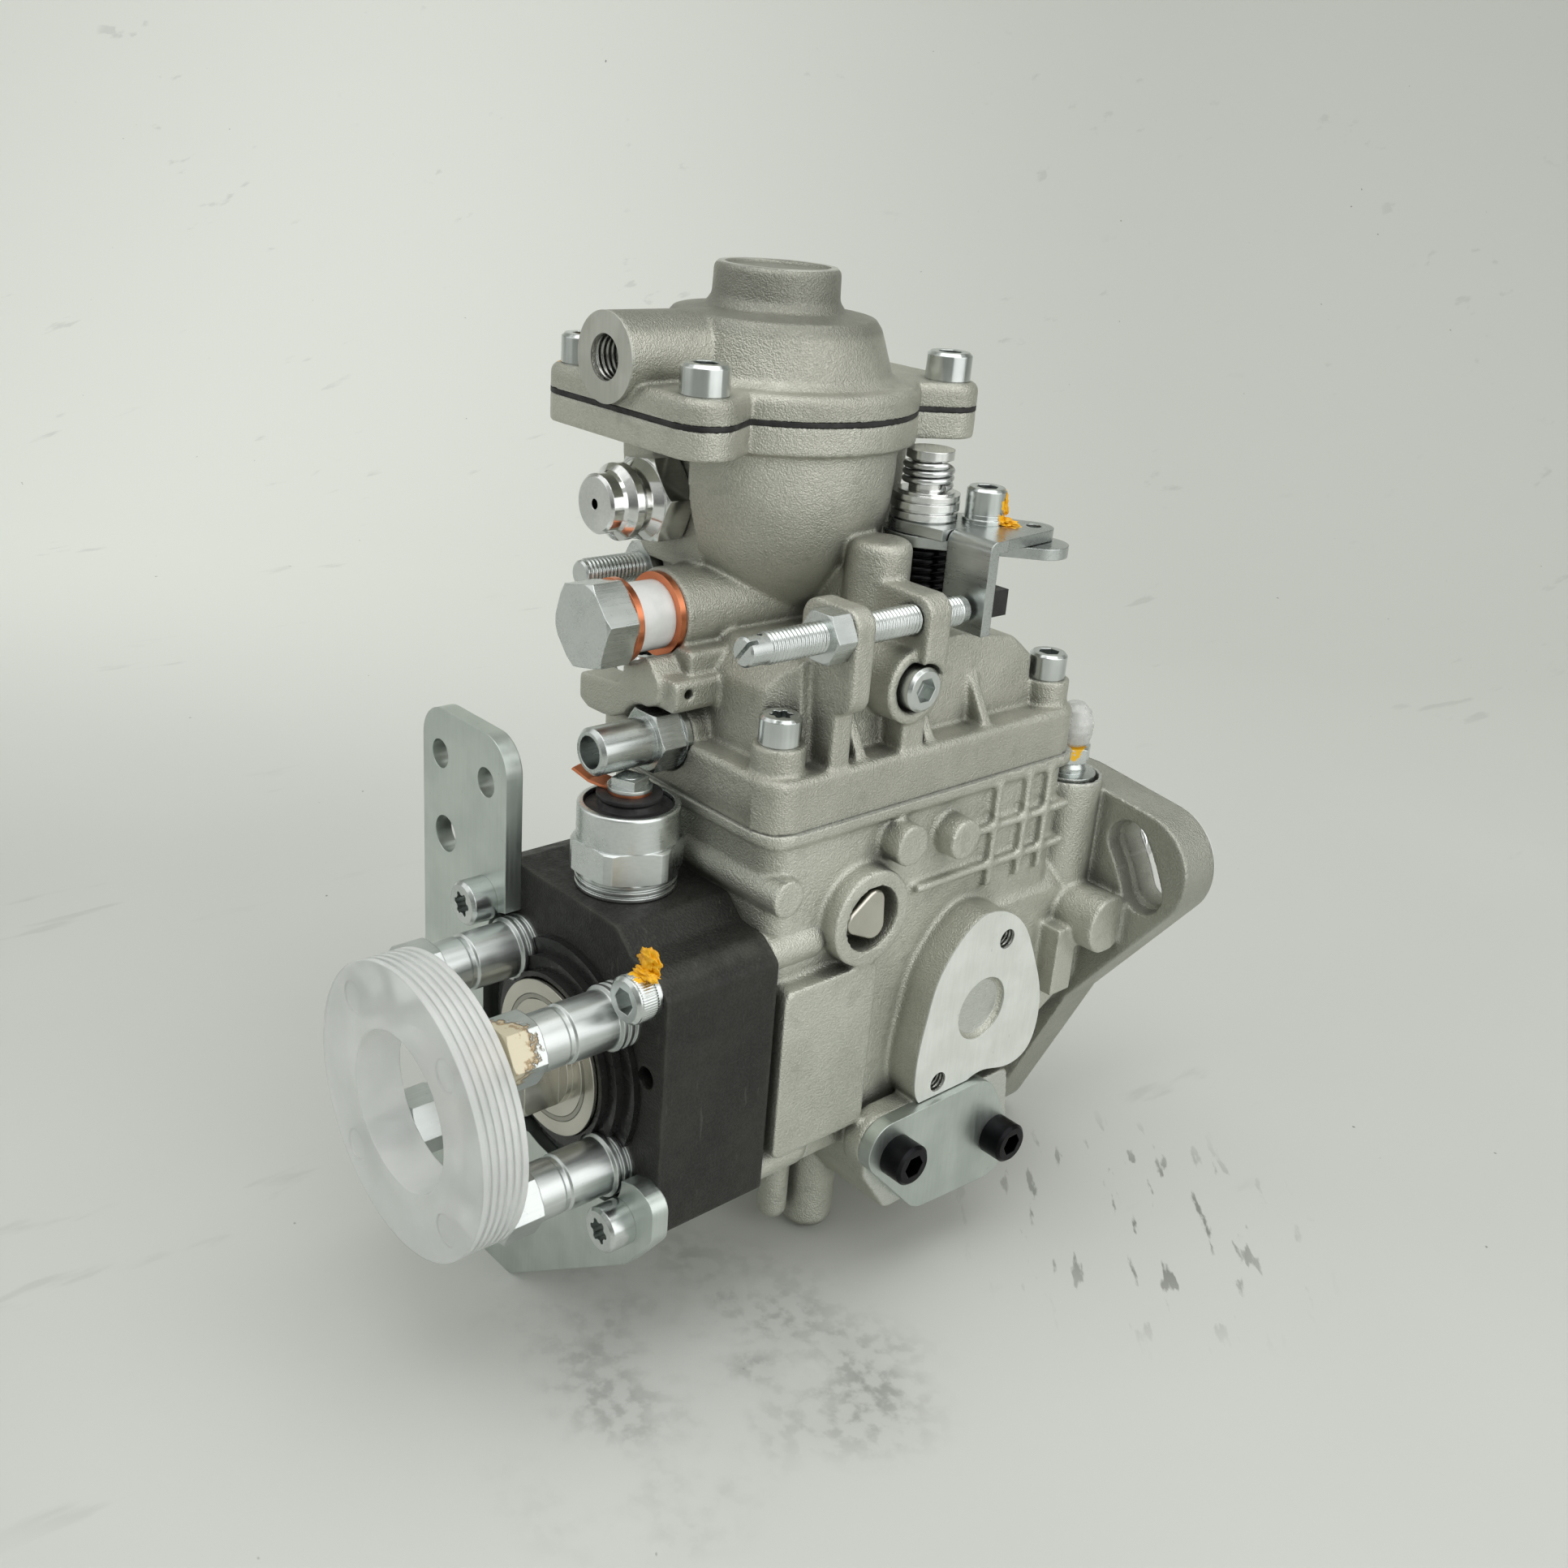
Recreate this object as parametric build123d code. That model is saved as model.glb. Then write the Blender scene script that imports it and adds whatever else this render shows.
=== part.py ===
from build123d import *
import math
import os

# Distributor type fuel injection pump for a four cylinder engine. All sizes are in millimetres.
# The model is drawn from the front face of the distributor head: +Y runs along the pump axis
# towards the drive end, +X is the side with the accessory face and +Z is up. At the end every
# solid is moved so that the origin lies on the pump axis at the seat of the mounting flange.

# Shared clearances
PART_GAP = 0.3
RUN_CLEAR = 0.03
SLIDE_CLEAR = 0.05
SPRING_END_GAP = 0.1
OVERRUN = 1.0

# Pump housing
HOUSING_X = 29.0
HEAD_DEPTH = 29.0
HOUSING_FRONT_Y = HEAD_DEPTH
HOUSING_REAR_Y = 123.0
HOUSING_BOTTOM_Z = -30.0
HOUSING_CORNER = 6.0
LIP_X = 31.0
LIP_FRONT_Y = 26.0
LIP_LOW_Z = 50.6
JOINT_Z = 54.0
LIP_EDGE = 1.2
BORE_R = 25.0
BORE_END_Y = 114.0
CHAMBER_X = 24.0
CHAMBER_FRONT_Y = 38.0
CHAMBER_REAR_Y = 112.0
CHAMBER_LOW_Z = 14.0
NECK_R = 35.0
NECK_START_Y = 100.0
NECK_TIP_R = 31.0
SHAFT_BORE_R = 10.0
SEAL_R = 15.0
SEAL_DEPTH = 8.0

# Mounting flange
FLANGE_FRONT_Y = 136.0
FLANGE_SEAT_Y = 148.0
SLOT_CIRCLE_R = 50.0
LOBE_ANGLES = (30, 150, 270)
UPPER_LOBES = ((43.3, 25.0, 14.5), (20.0, 32.4, 10.0), (-20.0, 32.4, 10.0), (-43.3, 25.0, 14.5))
LOWER_LOBE = (0.0, -54.5, 12.0)
FLANGE_HUB_R = 34.0
SLOT_R = 4.5
SLOT_SWEEP_DEG = 14
POCKET_R = 5.8
POCKET_DEPTH = 5.0
PILOT_R = 25.0
PILOT_LENGTH = 6.0

# Casting features on the right hand side
PAD_X = 33.6
PAD_SETBACK = 2.0
PAD_Y = (HOUSING_FRONT_Y + PAD_SETBACK, 58.0)
PAD_Z = (-22.5, 19.0)
PAD_CORNER = 2.0
ACCESSORY_X = 38.0
ACCESSORY_OUTLINE = ((89.0, 23.6), (96.0, 21.8), (102.2, 16.9), (107.8, 7.0), (111.8, -2.6),
                     (112.8, -12.6), (110.0, -19.8), (103.0, -21.8), (93.0, -19.8), (86.5, -21.6),
                     (80.6, -24.0), (75.4, -23.2), (71.3, -19.6), (69.8, -13.0), (70.2, -6.0),
                     (71.8, 3.0), (73.8, 10.5), (78.0, 17.0), (83.0, 21.6))
ACCESSORY_HOLES = ((96.5, 14.8), (78.0, -17.2))
ACCESSORY_HOLE_R = 2.5
ACCESSORY_HOLE_DEPTH = 12.0
ACCESSORY_RECESS = (90.5, -1.7)
ACCESSORY_RECESS_R = 8.0
ACCESSORY_RECESS_DEPTH = 1.5
PLUG_AXIS = (54.3, 30.3)
PLUG_BOSS_R = 11.2
PLUG_BOSS_X = 34.0
PLUG_POCKET_R = 7.6
PLUG_POCKET_X = 26.0
ROUND_PADS = ((31.5, 40.0, 4.2, 31.6), (63.6, 45.4, 4.8, 35.0), (80.9, 42.6, 4.8, 35.0))
RIB_X = 31.4
RIB_WIDTH = 2.0
LONG_RIBS = ((40.8, 86.0, 122.0), (31.4, 71.0, 122.0))
CROSS_RIBS_Y = (95.5, 106.0, 113.5)
CROSS_RIB_Z = (26.0, 52.0)
SMALL_PAD_Y = (119.5, 127.0)
SMALL_PAD_Z = (-9.0, 9.0)
SMALL_PAD_X = 36.0
STUD_BOSS_R = 7.5
STUD_BOSS_AXIS = (131.0, 10.0)
STUD_BOSS_X = (18.0, 42.0)

# Timing device bore under the housing
TIMING_AXIS = (84.0, -36.5)
TIMING_HALF = 36.5
TIMING_WALL_R = 13.5
TIMING_BORE_R = 9.0
TIMING_PAD_T = 5.5
TIMING_BASE = ((57.0, -24.0), (57.5, -36.5), (66.0, -48.5), (104.0, -50.5), (109.0, -44.0), (106.0, -24.0))
TIMING_BASE_CORNER = 2.5
TIMING_PAD = ((61.8, -27.8, 6.8), (90.0, -29.5, 8.5), (97.5, -42.5, 8.6), (76.5, -41.5, 8.2))
TIMING_SCREWS = ((63.7, -30.2), (99.2, -38.7))
TIMING_PLATE_T = 3.5
TIMING_SCREW_R = 5.0
TIMING_SCREW_HEAD = 6.0
TIMING_SCREW_SHANK_R = 2.9
TIMING_SCREW_SHANK = 12.0
FOOT_AXES = ((11.0, 66.0, 6.4, -67.0), (10.0, 55.0, 3.6, -61.0))
FOOT_TOP_Z = -24.0

# Fuel inlet on top of the drive end
INLET_AXIS = (22.4, 131.3)
INLET_BOSS_R = 8.8
INLET_BOSS_Z = 44.0
INLET_WELL_R = 7.7
INLET_WELL_Z = 41.0
INLET_DISC_R = 6.9
INLET_DISC_Z = 44.6
INLET_COLLAR_R = 4.4
INLET_NECK_R = 3.6
INLET_HEX = 9.0
INLET_HEX_Z = (47.6, 51.4)
INLET_SPOUT_R = 3.0
INLET_SPOUT_Z = 59.5
INLET_BORE_R = 1.6
INLET_SHANK_R = 4.0
INLET_SHANK_Z = 31.0
INLET_CAP_PROFILE = ((3.6, 51.8), (4.3, 52.6), (4.9, 55.6), (4.7, 57.6), (3.6, 60.6), (2.0, 62.0))
INLET_CAP_BORE_R = 3.1
INLET_CAP_BORE_Z = 60.0

# Governor cover with the cup of the boost unit
COVER_X = 30.2
COVER_FRONT_Y = 26.5
COVER_REAR_Y = 123.0
LEDGE_Z = 65.4
COVER_CORNER = 6.0
COVER_EDGE = 1.5
ROOF_LEFT_X = -25.0
ROOF_RIGHT_X = 23.0
ROOF_TAPER = 5
ROOF_SIDE = ((33.0, 64.0), (34.0, 80.0), (40.0, 86.5), (88.0, 85.5), (105.0, 82.5), (117.0, 73.0),
             (118.5, 64.0))
ROOF_CAVITY_X = 18.0
ROOF_CAVITY_Y = (40.0, 108.0)
ROOF_CAVITY_Z = 78.0
GUSSET_Y = (52.1, 72.9, 91.3)
GUSSET_WIDTH = 3.0
GUSSET_TOP_Z = 80.0
GUSSET_REACH = 29.0
COVER_SCREWS_FRONT = ((22.5, 33.5), (-22.5, 33.5))
COVER_SCREWS_REAR = ((22.5, 117.2), (-22.5, 117.2))
SCREW_BOSS_R = 5.6
SCREW_SEAT_Z = 71.2
SCREW_POCKET_R = 5.6
COVER_SCREW_HEAD_R = 4.4
COVER_SCREW_HEAD = 6.0
COVER_SCREW_SHANK_R = 2.9
COVER_SCREW_SHANK = 30.0
SIDE_BOSS_AXIS = (64.0, 80.0)
SIDE_BOSS_R = 8.3
SIDE_BOSS_X = 30.5
SIDE_POCKET_R = 5.6
SIDE_POCKET_X = 22.0
SIDE_SCREW_HEAD_R = 4.9
SIDE_SCREW_X = 33.0
CUP_AXIS = (-19.8, 62.3)
CUP_PROFILE = ((16.0, 80.0), (17.0, 88.5), (20.6, 93.4), (24.8, 99.0), (27.4, 104.0), (29.1, 109.0),
               (30.2, 113.5), (30.7, 118.0), (30.8, 124.0))
RIM_R = 32.4
EAR_R = 7.0
CUP_FLANGE_Z = 124.6
LID_Z = 131.0
CUP_CAVITY_R = 23.0
CUP_CAVITY_Z = 112.0
CUP_STEM_Z = 81.5
FITTING_PAD_X = (-31.0, -10.5)
FITTING_PAD_Y = 37.5
FITTING_PAD_Z = (97.0, 121.0)
BANJO_AXIS = (-12.5, 89.3)
BANJO_BOSS_R = 9.6
BANJO_SEAT_Y = 29.5
RETURN_AXIS = (-5.2, 64.9)
RETURN_BOSS_R = 7.2
RETURN_SEAT_Y = 28.5
FULL_LOAD_AXIS = (-32.6, 93.4)
FULL_LOAD_BOSS_R = 6.5
FULL_LOAD_SEAT_Y = 44.0
SHAFT_BOSS_AXIS = (9.5, 83.4)
SHAFT_BOSS_R = 8.0
SHAFT_BOSS_Z = 93.0
SHAFT_ROOM_R = 9.2
SIDE_STUB_AXIS = (12.5, 67.5)
SIDE_STUB_R = 7.0
SIDE_STUB_Z = 107.0
SIDE_WEB_Y = (63.5, 71.5)
SIDE_WEB_Z = 101.0
LUG_FRONT_Y = (42.0, 47.6)
LUG_REAR_Y = (62.6, 69.6)
LUG_X = (17.0, 33.2)
LUG_LOW_Z = (77.5, 80.0)
LUG_TOP_Z = 99.6
LUG_CORNER = 4.0
STOP_AXIS = (28.0, 94.2)
BLOCK_PLATE = ((-28.3, 67.5), (-28.3, 73.4), (-14.0, 75.0), (-12.0, 81.5), (-8.5, 83.4), (-4.5, 82.5),
               (-1.0, 78.5), (-1.0, 74.0), (-17.0, 66.2), (-25.0, 66.0))
BLOCK_PLATE_Y = (20.5, 30.0)
BLOCK_STEP_X = (-14.0, 3.2)
BLOCK_STEP_Y = (22.0, 38.0)
BLOCK_STEP_Z = (72.6, 79.5)
BLOCK_RISER_X = (-11.0, 0.6)
BLOCK_RISER_Y = (27.5, 38.5)
BLOCK_RISER_Z = 84.4
BLOCK_HOLE = (25.6, 76.6)
BLOCK_HOLE_R = 1.1
BLOCK_HOLE_DEPTH = 8.0

# Boost lid
LID_FLANGE_T = 5.6
LID_DOME = ((29.0, 136.0), (26.0, 138.0), (23.0, 147.0), (21.5, 149.0), (15.0, 150.0), (13.6, 152.0),
            (13.4, 157.8), (12.6, 158.6), (11.2, 158.6), (10.8, 157.8))
LID_CAVITY = ((22.0, 130.0), (22.0, 137.0), (19.0, 145.5), (0.0, 146.0))
LID_SCREWS = ((-39.5, 27.8), (-0.1, 27.8), (-39.5, 96.8), (-0.1, 96.8))
LID_SCREW_HEAD_R = 5.0
LID_SCREW_HEAD = 6.0
LID_SCREW_SHANK_R = 2.9
LID_SCREW_SHANK = 9.5
PORT_AXIS = (-20.5, 140.8)
PORT_R = 9.0
PORT_FACE_Y = 18.8
PORT_INNER_Y = 50.0
PORT_THREAD_R = 4.6
PORT_DEPTH = 14.0

# Distributor head
HEAD_CORNER = 4.0
HEAD_PROFILE = ((-32.4, -30.0), (32.4, -30.0), (32.4, 27.0), (27.0, 31.0), (20.0, 31.5), (15.0, 36.0),
                (-22.0, 36.0), (-28.0, 34.0), (-32.4, 28.0))
HEAD_SPIGOT_Y = 40.0
HEAD_RINGS = ((25.0, 1.2), (21.5, 3.0), (18.6, 4.6))
HEAD_FACE_HOLE = (26.8, 7.0)
HEAD_FACE_HOLE_R = 2.5
HEAD_FACE_HOLE_DEPTH = 9.0
SOLENOID_AXIS = (-0.4, 14.0)
SOLENOID_SEAT_Z = 36.0
HEAD_SCREW_OFFSET = 26.3
HEAD_SCREW_R = 5.0
HEAD_SCREW_HEAD = 6.0
HEAD_SCREW_SHANK_R = 2.9
HEAD_SCREW_SHANK = 44.0

# Central plug
PLUG_DISC_R = 17.2
PLUG_DISC_Y = (-5.6, -3.2)
PLUG_NECK_R = 10.0
PLUG_NECK_Y = (-15.5, -1.0)
PLUG_FLATS = 14.0
PLUG_THREAD_R = 10.0

# Delivery valve holders
HOLDER_OFFSET = 17.6
HOLDER_PROFILE = ((7.0, 1.5), (7.0, -0.6), (6.5, -0.9), (6.5, -1.3), (7.0, -1.6), (7.0, -2.3), (6.5, -2.6),
                  (6.5, -3.0), (7.0, -3.3), (7.0, -4.0), (6.2, -4.4), (6.2, -14.4), (5.7, -14.8),
                  (5.7, -15.8), (6.0, -16.2), (6.0, -22.0))
HOLDER_HEX = 13.0
HOLDER_HEX_Y = (-29.8, -22.0)
HOLDER_TIP_R = 4.7
HOLDER_TIP_Y = -37.0
HOLDER_THREAD_Y = 12.0
HOLDER_BORE_R = 1.5
HOLDER_CHAMBER_R = 3.4
HOLDER_CHAMBER_Y = -16.0
VALVE_R = 3.3
VALVE_Y = (-2.0, 9.5)
VALVE_STEM_R = 1.3
VALVE_SPRING_R = 2.6
VALVE_SPRING_Y = (-15.7, 0.8)

# Transport cap over the four outlets
CAP_R = 31.0
CAP_HOLE_R = 17.0
CAP_Y = (-40.4, -30.4)
CAP_POCKET_R = 4.9
CAP_POCKET_Y = -38.2
CAP_GROOVES = 5
CAP_GROOVE_W = 0.7
CAP_GROOVE_DEPTH = 0.5
CAP_MARK_R = 3.4
CAP_MARK_DEPTH = 0.3

# Bracket on the head face
BRACKET_T = 4.0
BRACKET_TOP_R = 8.0
BRACKET_WAIST_Z = 40.0
BRACKET_OUTLINE = ((-51.7, -67.0), (-51.7, 64.2), (-18.6, 64.2), (-18.6, 20.0), (-27.0, 12.0),
                   (-27.0, -12.0), (-14.0, -25.0), (20.0, -19.0), (30.0, -15.5), (36.3, -17.0),
                   (36.3, -26.0), (28.0, -36.5), (-15.0, -67.0))
BRACKET_CORNER = 4.0
BRACKET_HOLES = ((-44.6, 53.6, 3.3), (-26.4, 53.2, 3.3), (-42.6, 35.2, 4.2))
BRACKET_SCREW_SPOTS = ((-26.3, 26.3), (26.3, -26.3), (-26.3, -26.3))

# Shut-off solenoid
SOLENOID_THREAD = ((9.0, 24.0), (9.0, 36.2), (10.8, 36.2), (10.8, 36.9), (10.4, 37.1), (10.4, 37.4),
                   (10.8, 37.6), (10.8, 38.3), (10.4, 38.5), (10.4, 38.8), (10.8, 39.0), (10.8, 39.8))
SOLENOID_HEX = 21.5
SOLENOID_HEX_ROUND_R = 11.9
SOLENOID_HEX_Z = (39.8, 47.0)
SOLENOID_RING_R = 10.8
SOLENOID_RING_Z = 54.6
SOLENOID_RING_WALL = 1.3
SOLENOID_RECESS_Z = 52.6
SOLENOID_BORE_R = 5.0
SOLENOID_BORE_Z = 43.0
BOOT_PROFILE = ((9.3, 52.9), (9.3, 53.6), (6.8, 54.0), (6.2, 55.2), (6.9, 55.8), (6.9, 56.6), (4.6, 56.8))
STUD_R = 1.9
STUD_Z = 60.0
TERMINAL_WASHER_R = 4.7
TERMINAL_WASHER_T = 0.8
TERMINAL_NUT = 5.6
TERMINAL_NUT_T = 1.7
CLIP_T = 0.6
CLIP_R = 4.6
CLIP_TONGUE_W = 5.0
CLIP_TONGUE = ((-3.5, 57.4), (-5.0, 57.4), (-8.5, 57.8), (-12.5, 59.5), (-12.9, 59.0), (-8.6, 57.2),
               (-5.0, 56.8), (-3.5, 56.8))
ARMATURE_R = 4.6
ARMATURE_Z = (27.5, 41.0)

# Inlet banjo
BANJO_HEX = 17.0
BANJO_HEAD_Y = (9.2, 17.2)
BANJO_WASHER_R = 8.9
BANJO_WASHER_T = 1.5
BANJO_SHANK_R = 6.0
BANJO_SHANK_END_Y = 40.0
SLEEVE_R = 7.3
WASHER_BORE_R = 6.2

# Return fitting
RETURN_HEX = 12.5
RETURN_SLEEVE_R = 5.1
RETURN_TIP_Y = 7.0
RETURN_SLEEVE_END_Y = 20.6
RETURN_HEX_END_Y = 27.0
RETURN_BORE_R = 3.5
RETURN_BORE_END_Y = 14.0
RETURN_WASHER_R = 7.0
RETURN_SHANK_R = 4.0
RETURN_SHANK_END_Y = 38.0

# Turned fitting on the cup
FITTING_AXIS = (-22.0, 111.3)
FITTING_PROFILE = ((5.6, 18.6), (6.2, 19.2), (6.2, 21.6), (6.6, 22.4), (8.0, 23.8), (8.0, 25.6), (6.8, 27.0),
                   (6.8, 28.4), (8.4, 30.2))
FITTING_HEX = 17.0
FITTING_HEX_Y = (30.2, 37.2)
FITTING_SHANK_R = 5.0
FITTING_SHANK_END_Y = 46.0
FITTING_BORE_R = 1.1
FITTING_BORE_DEPTH = 10.0

# Full load adjusting screw
FULL_LOAD_TIP_Y = 23.0
FULL_LOAD_END_Y = 52.0

# Throttle stop screw
STOP_SCREW_R = 3.0
STOP_SCREW_Y = (17.0, 78.0)
LOCK_NUT = 10.0
LOCK_NUT_T = 5.4
STOP_SLOT_W = 0.9
STOP_SLOT_DEPTH = 2.2
STOP_CROSS_HOLE_R = 0.6
STOP_CROSS_HOLE_Y = 21.0

# Throttle shaft and levers
THROTTLE_SHAFT_R = 4.0
THROTTLE_SHAFT_Z = (79.5, 124.2)
RETURN_SPRING_R = 7.2
RETURN_SPRING_WIRE = 0.95
RETURN_SPRING_Z = (93.2, 104.1)
TOP_SPRING_R = 4.95
TOP_SPRING_WIRE = 0.7
TOP_SPRING_Z = (115.8, 122.0)
SHAFT_HEAD_R = 5.2
LEVER_T = 2.4
LOWER_LEVER_Z = 104.4
LOWER_LEVER_TIP = (30.0, 98.6)
LOWER_LEVER_R = 6.2
BENT_PLATE_Z = 107.0
BENT_PLATE_ENDS = ((9.5, 83.4, 7.6), (18.4, 92.8, 6.0), (26.3, 100.0, 4.6), (31.0, 81.1, 2.0))
LEVER_HOLE = (26.3, 100.4)
LEVER_HOLE_R = 1.7
TAB_X = (21.0, 33.0)
TAB_Y = (79.1, 81.9)
TAB_LOW_Z = 89.2
TAB_ROOT_Y = 84.6
BEND_R = 2.2
CLAMP_AXIS = (18.4, 92.8)
CLAMP_WASHER_R = 4.8
CLAMP_WASHER_T = 1.0
CLAMP_HEAD_R = 4.4
CLAMP_HEAD = 5.6
CLAMP_SHANK_R = 2.4
BUMPER_X = (28.0, 32.6)
BUMPER_LENGTH = 5.0
BUMPER_Z = (93.0, 98.6)
SEAT_STACK = ((6.4, 0.3), (7.3, 1.5), (6.6, 0.6), (7.5, 1.6), (6.8, 0.4), (7.4, 1.2), (6.2, 0.5))

# Drive shaft and its drive taper
SHAFT_R = 9.97
TAPER_Y = (158.0, 186.0)
TAPER_SMALL_R = 8.0
THREAD_R = 6.0
SHAFT_END_Y = 202.0
SHAFT_START_Y = 89.0
SHAFT_FRONT_R = 8.0
TONGUE_Y = 71.5
TONGUE_R = 5.5
TONGUE_W = 4.0
KEY_W = 4.0
KEY_Y = (164.0, 178.0)
KEY_TOP = 11.0
KEY_BED = 6.4

# Vane pump and governor drive
ROTOR_R = 15.0
ROTOR_Y = (104.4, 111.6)
VANE_T = 2.5
VANE_COUNT = 4
VANE_TIP_R = 17.6
VANE_ROOT_R = 11.0
PUMP_RING_BORE = 18.0
COVER_PLATE_Y = (101.0, 104.0)
COVER_PLATE_BORE_R = 10.5
GEAR_Y = (92.5, 98.5)
DRIVE_GEAR_R = 20.4
DRIVEN_GEAR_R = 13.2
TOOTH_DEPTH = 1.4
DRIVE_TEETH = 32
DRIVEN_TEETH = 20
GOVERNOR_AXIS = (-7.0, 33.4)
GOVERNOR_SHAFT_R = 3.0
GOVERNOR_SHAFT_Y = (55.0, 116.0)
CAGE_HUB_R = 4.8
CAGE_R = 11.0
CAGE_Y = (63.0, 77.0)
CAGE_DISC_T = 2.0
WEIGHT_COUNT = 4
WEIGHT_W = 5.0
WEIGHT_IN_R = 5.4
WEIGHT_OUT_R = 10.6
SLEEVE_PROFILE = ((2.0, 47.7), (5.0, 50.5), (5.0, 62.4))
SLEEVE_BORE_Y = 54.0

# Cam drive, plunger and spill ring
ROLLER_RING_Y = (80.4, 87.6)
ROLLER_RING_R = 24.95
ROLLER_RING_BORE = 11.0
ROLLER_COUNT = 4
ROLLER_R = 3.0
ROLLER_SPAN = (13.0, 20.0)
ROLLER_AXIS_Y = 80.2
CAM_DISC_Y = (70.5, 75.0)
CAM_DISC_R = 18.5
CAM_LOBE_H = 1.2
CAM_LOBE_W = 5.0
CAM_LOBE_INNER_R = 12.0
PLUNGER_R = 4.95
PLUNGER_Y = (9.0, 67.0)
PLUNGER_FOOT_R = 8.6
PLUNGER_SPRING_R = 8.2
PLUNGER_SPRING_WIRE = 1.0
PLUNGER_SPRING_Y = (52.5, PLUNGER_Y[1] - SPRING_END_GAP)
BARREL_BORE_R = 5.0
BARREL_START_Y = 4.0
LEVER_AXIS = (45.5, 24.0)
SPOOL_R = 10.0
SPOOL_HALF = 3.5
SPOOL_Y = (LEVER_AXIS[0] - SPOOL_HALF, LEVER_AXIS[0] + SPOOL_HALF)
SPOOL_GROOVE_R = 8.6
SPOOL_GROOVE_W = 3.6
LEVER_PLATE_T = 2.8
LEVER_OUTLINE = ((-10.5, 46.0), (-3.5, 46.0), (-3.5, 30.0), (3.0, 22.0), (1.8, 9.2), (-1.8, 9.2),
                 (-5.0, 20.0),
                 (-10.5, 30.0))
LEVER_PIN_R = 2.0
TIMING_PIN_R = 3.0
TIMING_PIN_TIP_R = 35.0
TIMING_PIN_ROOT_R = 18.0
TIMING_WINDOW = (18.0, 7.4)
PISTON_R = 8.95
PISTON_HALF = 17.0
PISTON_SOCKET_R = 4.8
PISTON_SOCKET_Z = -39.0
PISTON_SPRING_R = 5.6
PISTON_SPRING_WIRE = 1.1
PISTON_SPRING_X = (SPRING_END_GAP - TIMING_HALF, -PISTON_HALF - SPRING_END_GAP)

# Boost unit internals
DIAPHRAGM_T = 1.0
DISC_R = 16.0
DISC_T = 1.5
PIN_R = 4.0
PIN_LOW_Z = 86.0
PIN_CONE_R = 2.6
BOOST_SPRING_R = 11.0
BOOST_SPRING_WIRE = 1.2
BOOST_SPRING_Z = (CUP_CAVITY_Z + SPRING_END_GAP, LID_Z - DIAPHRAGM_T / 2 - DISC_T - SPRING_END_GAP)


# Shape shares and small shared sizes
FACE_SHARE = 0.9
SLOPE_SHARE = 0.5
EDGE_SHARE = 0.14
SOCKET_SHARE = 0.55
STAR_SHARE = 0.42
LOBE_SHARE = 0.34
TORX_LOBES = 6
ROUND_SHARE = 0.45
PAD_STEP = 3.0

# Housing details
NECK_SPARE = 1.0
FOOT_SHARE = 0.6
LEVER_PIN_SEAT = 2.5
SIDE_PLUG_SHANK_R = 5.5
SIDE_PLUG_FLOOR = 0.4
SIDE_PLUG_COLLAR = 1.5
SIDE_PLUG_COLLAR_R = 6.6
SIDE_PLUG_X = 33.0
SIDE_PLUG_LOBES = 3
SIDE_PLUG_LOBE_R = 3.2
SIDE_PLUG_LOBE_OFFSET = 3.2
SIDE_PLUG_TURN = 65.0
SIDE_PLUG_ROUND = 0.8

# Head details
HEAD_ROUND_SHARE = 0.6
HEAD_SPIGOT_R = 24.9
PLUG_DISC_BED = 3.0
PLUG_STEP = 1.4
PLUG_NECK_ROUND = 1.5
SOLENOID_FLOOR = 1.0
VALVE_SHOULDER = 3.0
VALVE_SPRING_WIRE = 0.5
VALVE_SPRING_TURNS = 4
BRACKET_CLEAR_R = 8.0
SOLENOID_TURN = 4.0
TERMINAL_TURN = 20.0
CLIP_TURN = 20.0
ARMATURE_TIP_R = 1.6

# Cover details
ROOF_ROUND = 2.5
ROOF_SPAN = 100.0
BLOCK_ROUND = 1.5
LID_ROUND = 2.0
PORT_DRILL_R = 2.0
PIN_NECK_R = 3.0
PIN_CONE_LENGTH = 8.0
BANJO_TURN = 12.0
RETURN_EDGE = 0.8
FITTING_TURN = 8.0
STOP_SLOT_TURN = -50.0

# Lever and drive details
LOWER_LEVER_ROOT_R = 8.5
SHAFT_HEAD_T = 1.9
SPRING_TURNS = 4
TOP_SPRING_TURNS = 3
RETURN_SPRING_TURNS = 5
TOOTH_ROOT_SHARE = 0.34
TOOTH_TIP_SHARE = 0.16
ROLLER_START_DEG = 45.0
CROSS_SLOT_W = 4.4
CROSS_SLOT_DEPTH = 1.0
LEVER_HUB_R = 4.0
LEVER_HUB_X = (-10.5, 4.0)
WEIGHT_ROUND = 1.5


# General shape helpers

def rod(axis, radius, start, end, spot):
    """Round bar along one axis; spot holds the two other coordinates in X, Y, Z order."""
    length = end - start
    middle = (start + end) / 2
    if axis == "X":
        return Pos(middle, spot[0], spot[1]) * Rot(0, 90, 0) * Cylinder(radius, length)
    if axis == "Y":
        return Pos(spot[0], middle, spot[1]) * Rot(90, 0, 0) * Cylinder(radius, length)
    return Pos(spot[0], spot[1], middle) * Cylinder(radius, length)


def block(x_span, y_span, z_span):
    """Rectangular block between three pairs of coordinates."""
    spans = (x_span, y_span, z_span)
    centre = [(span[0] + span[1]) / 2 for span in spans]
    size = [span[1] - span[0] for span in spans]
    return Pos(*centre) * Box(*size)


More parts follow.
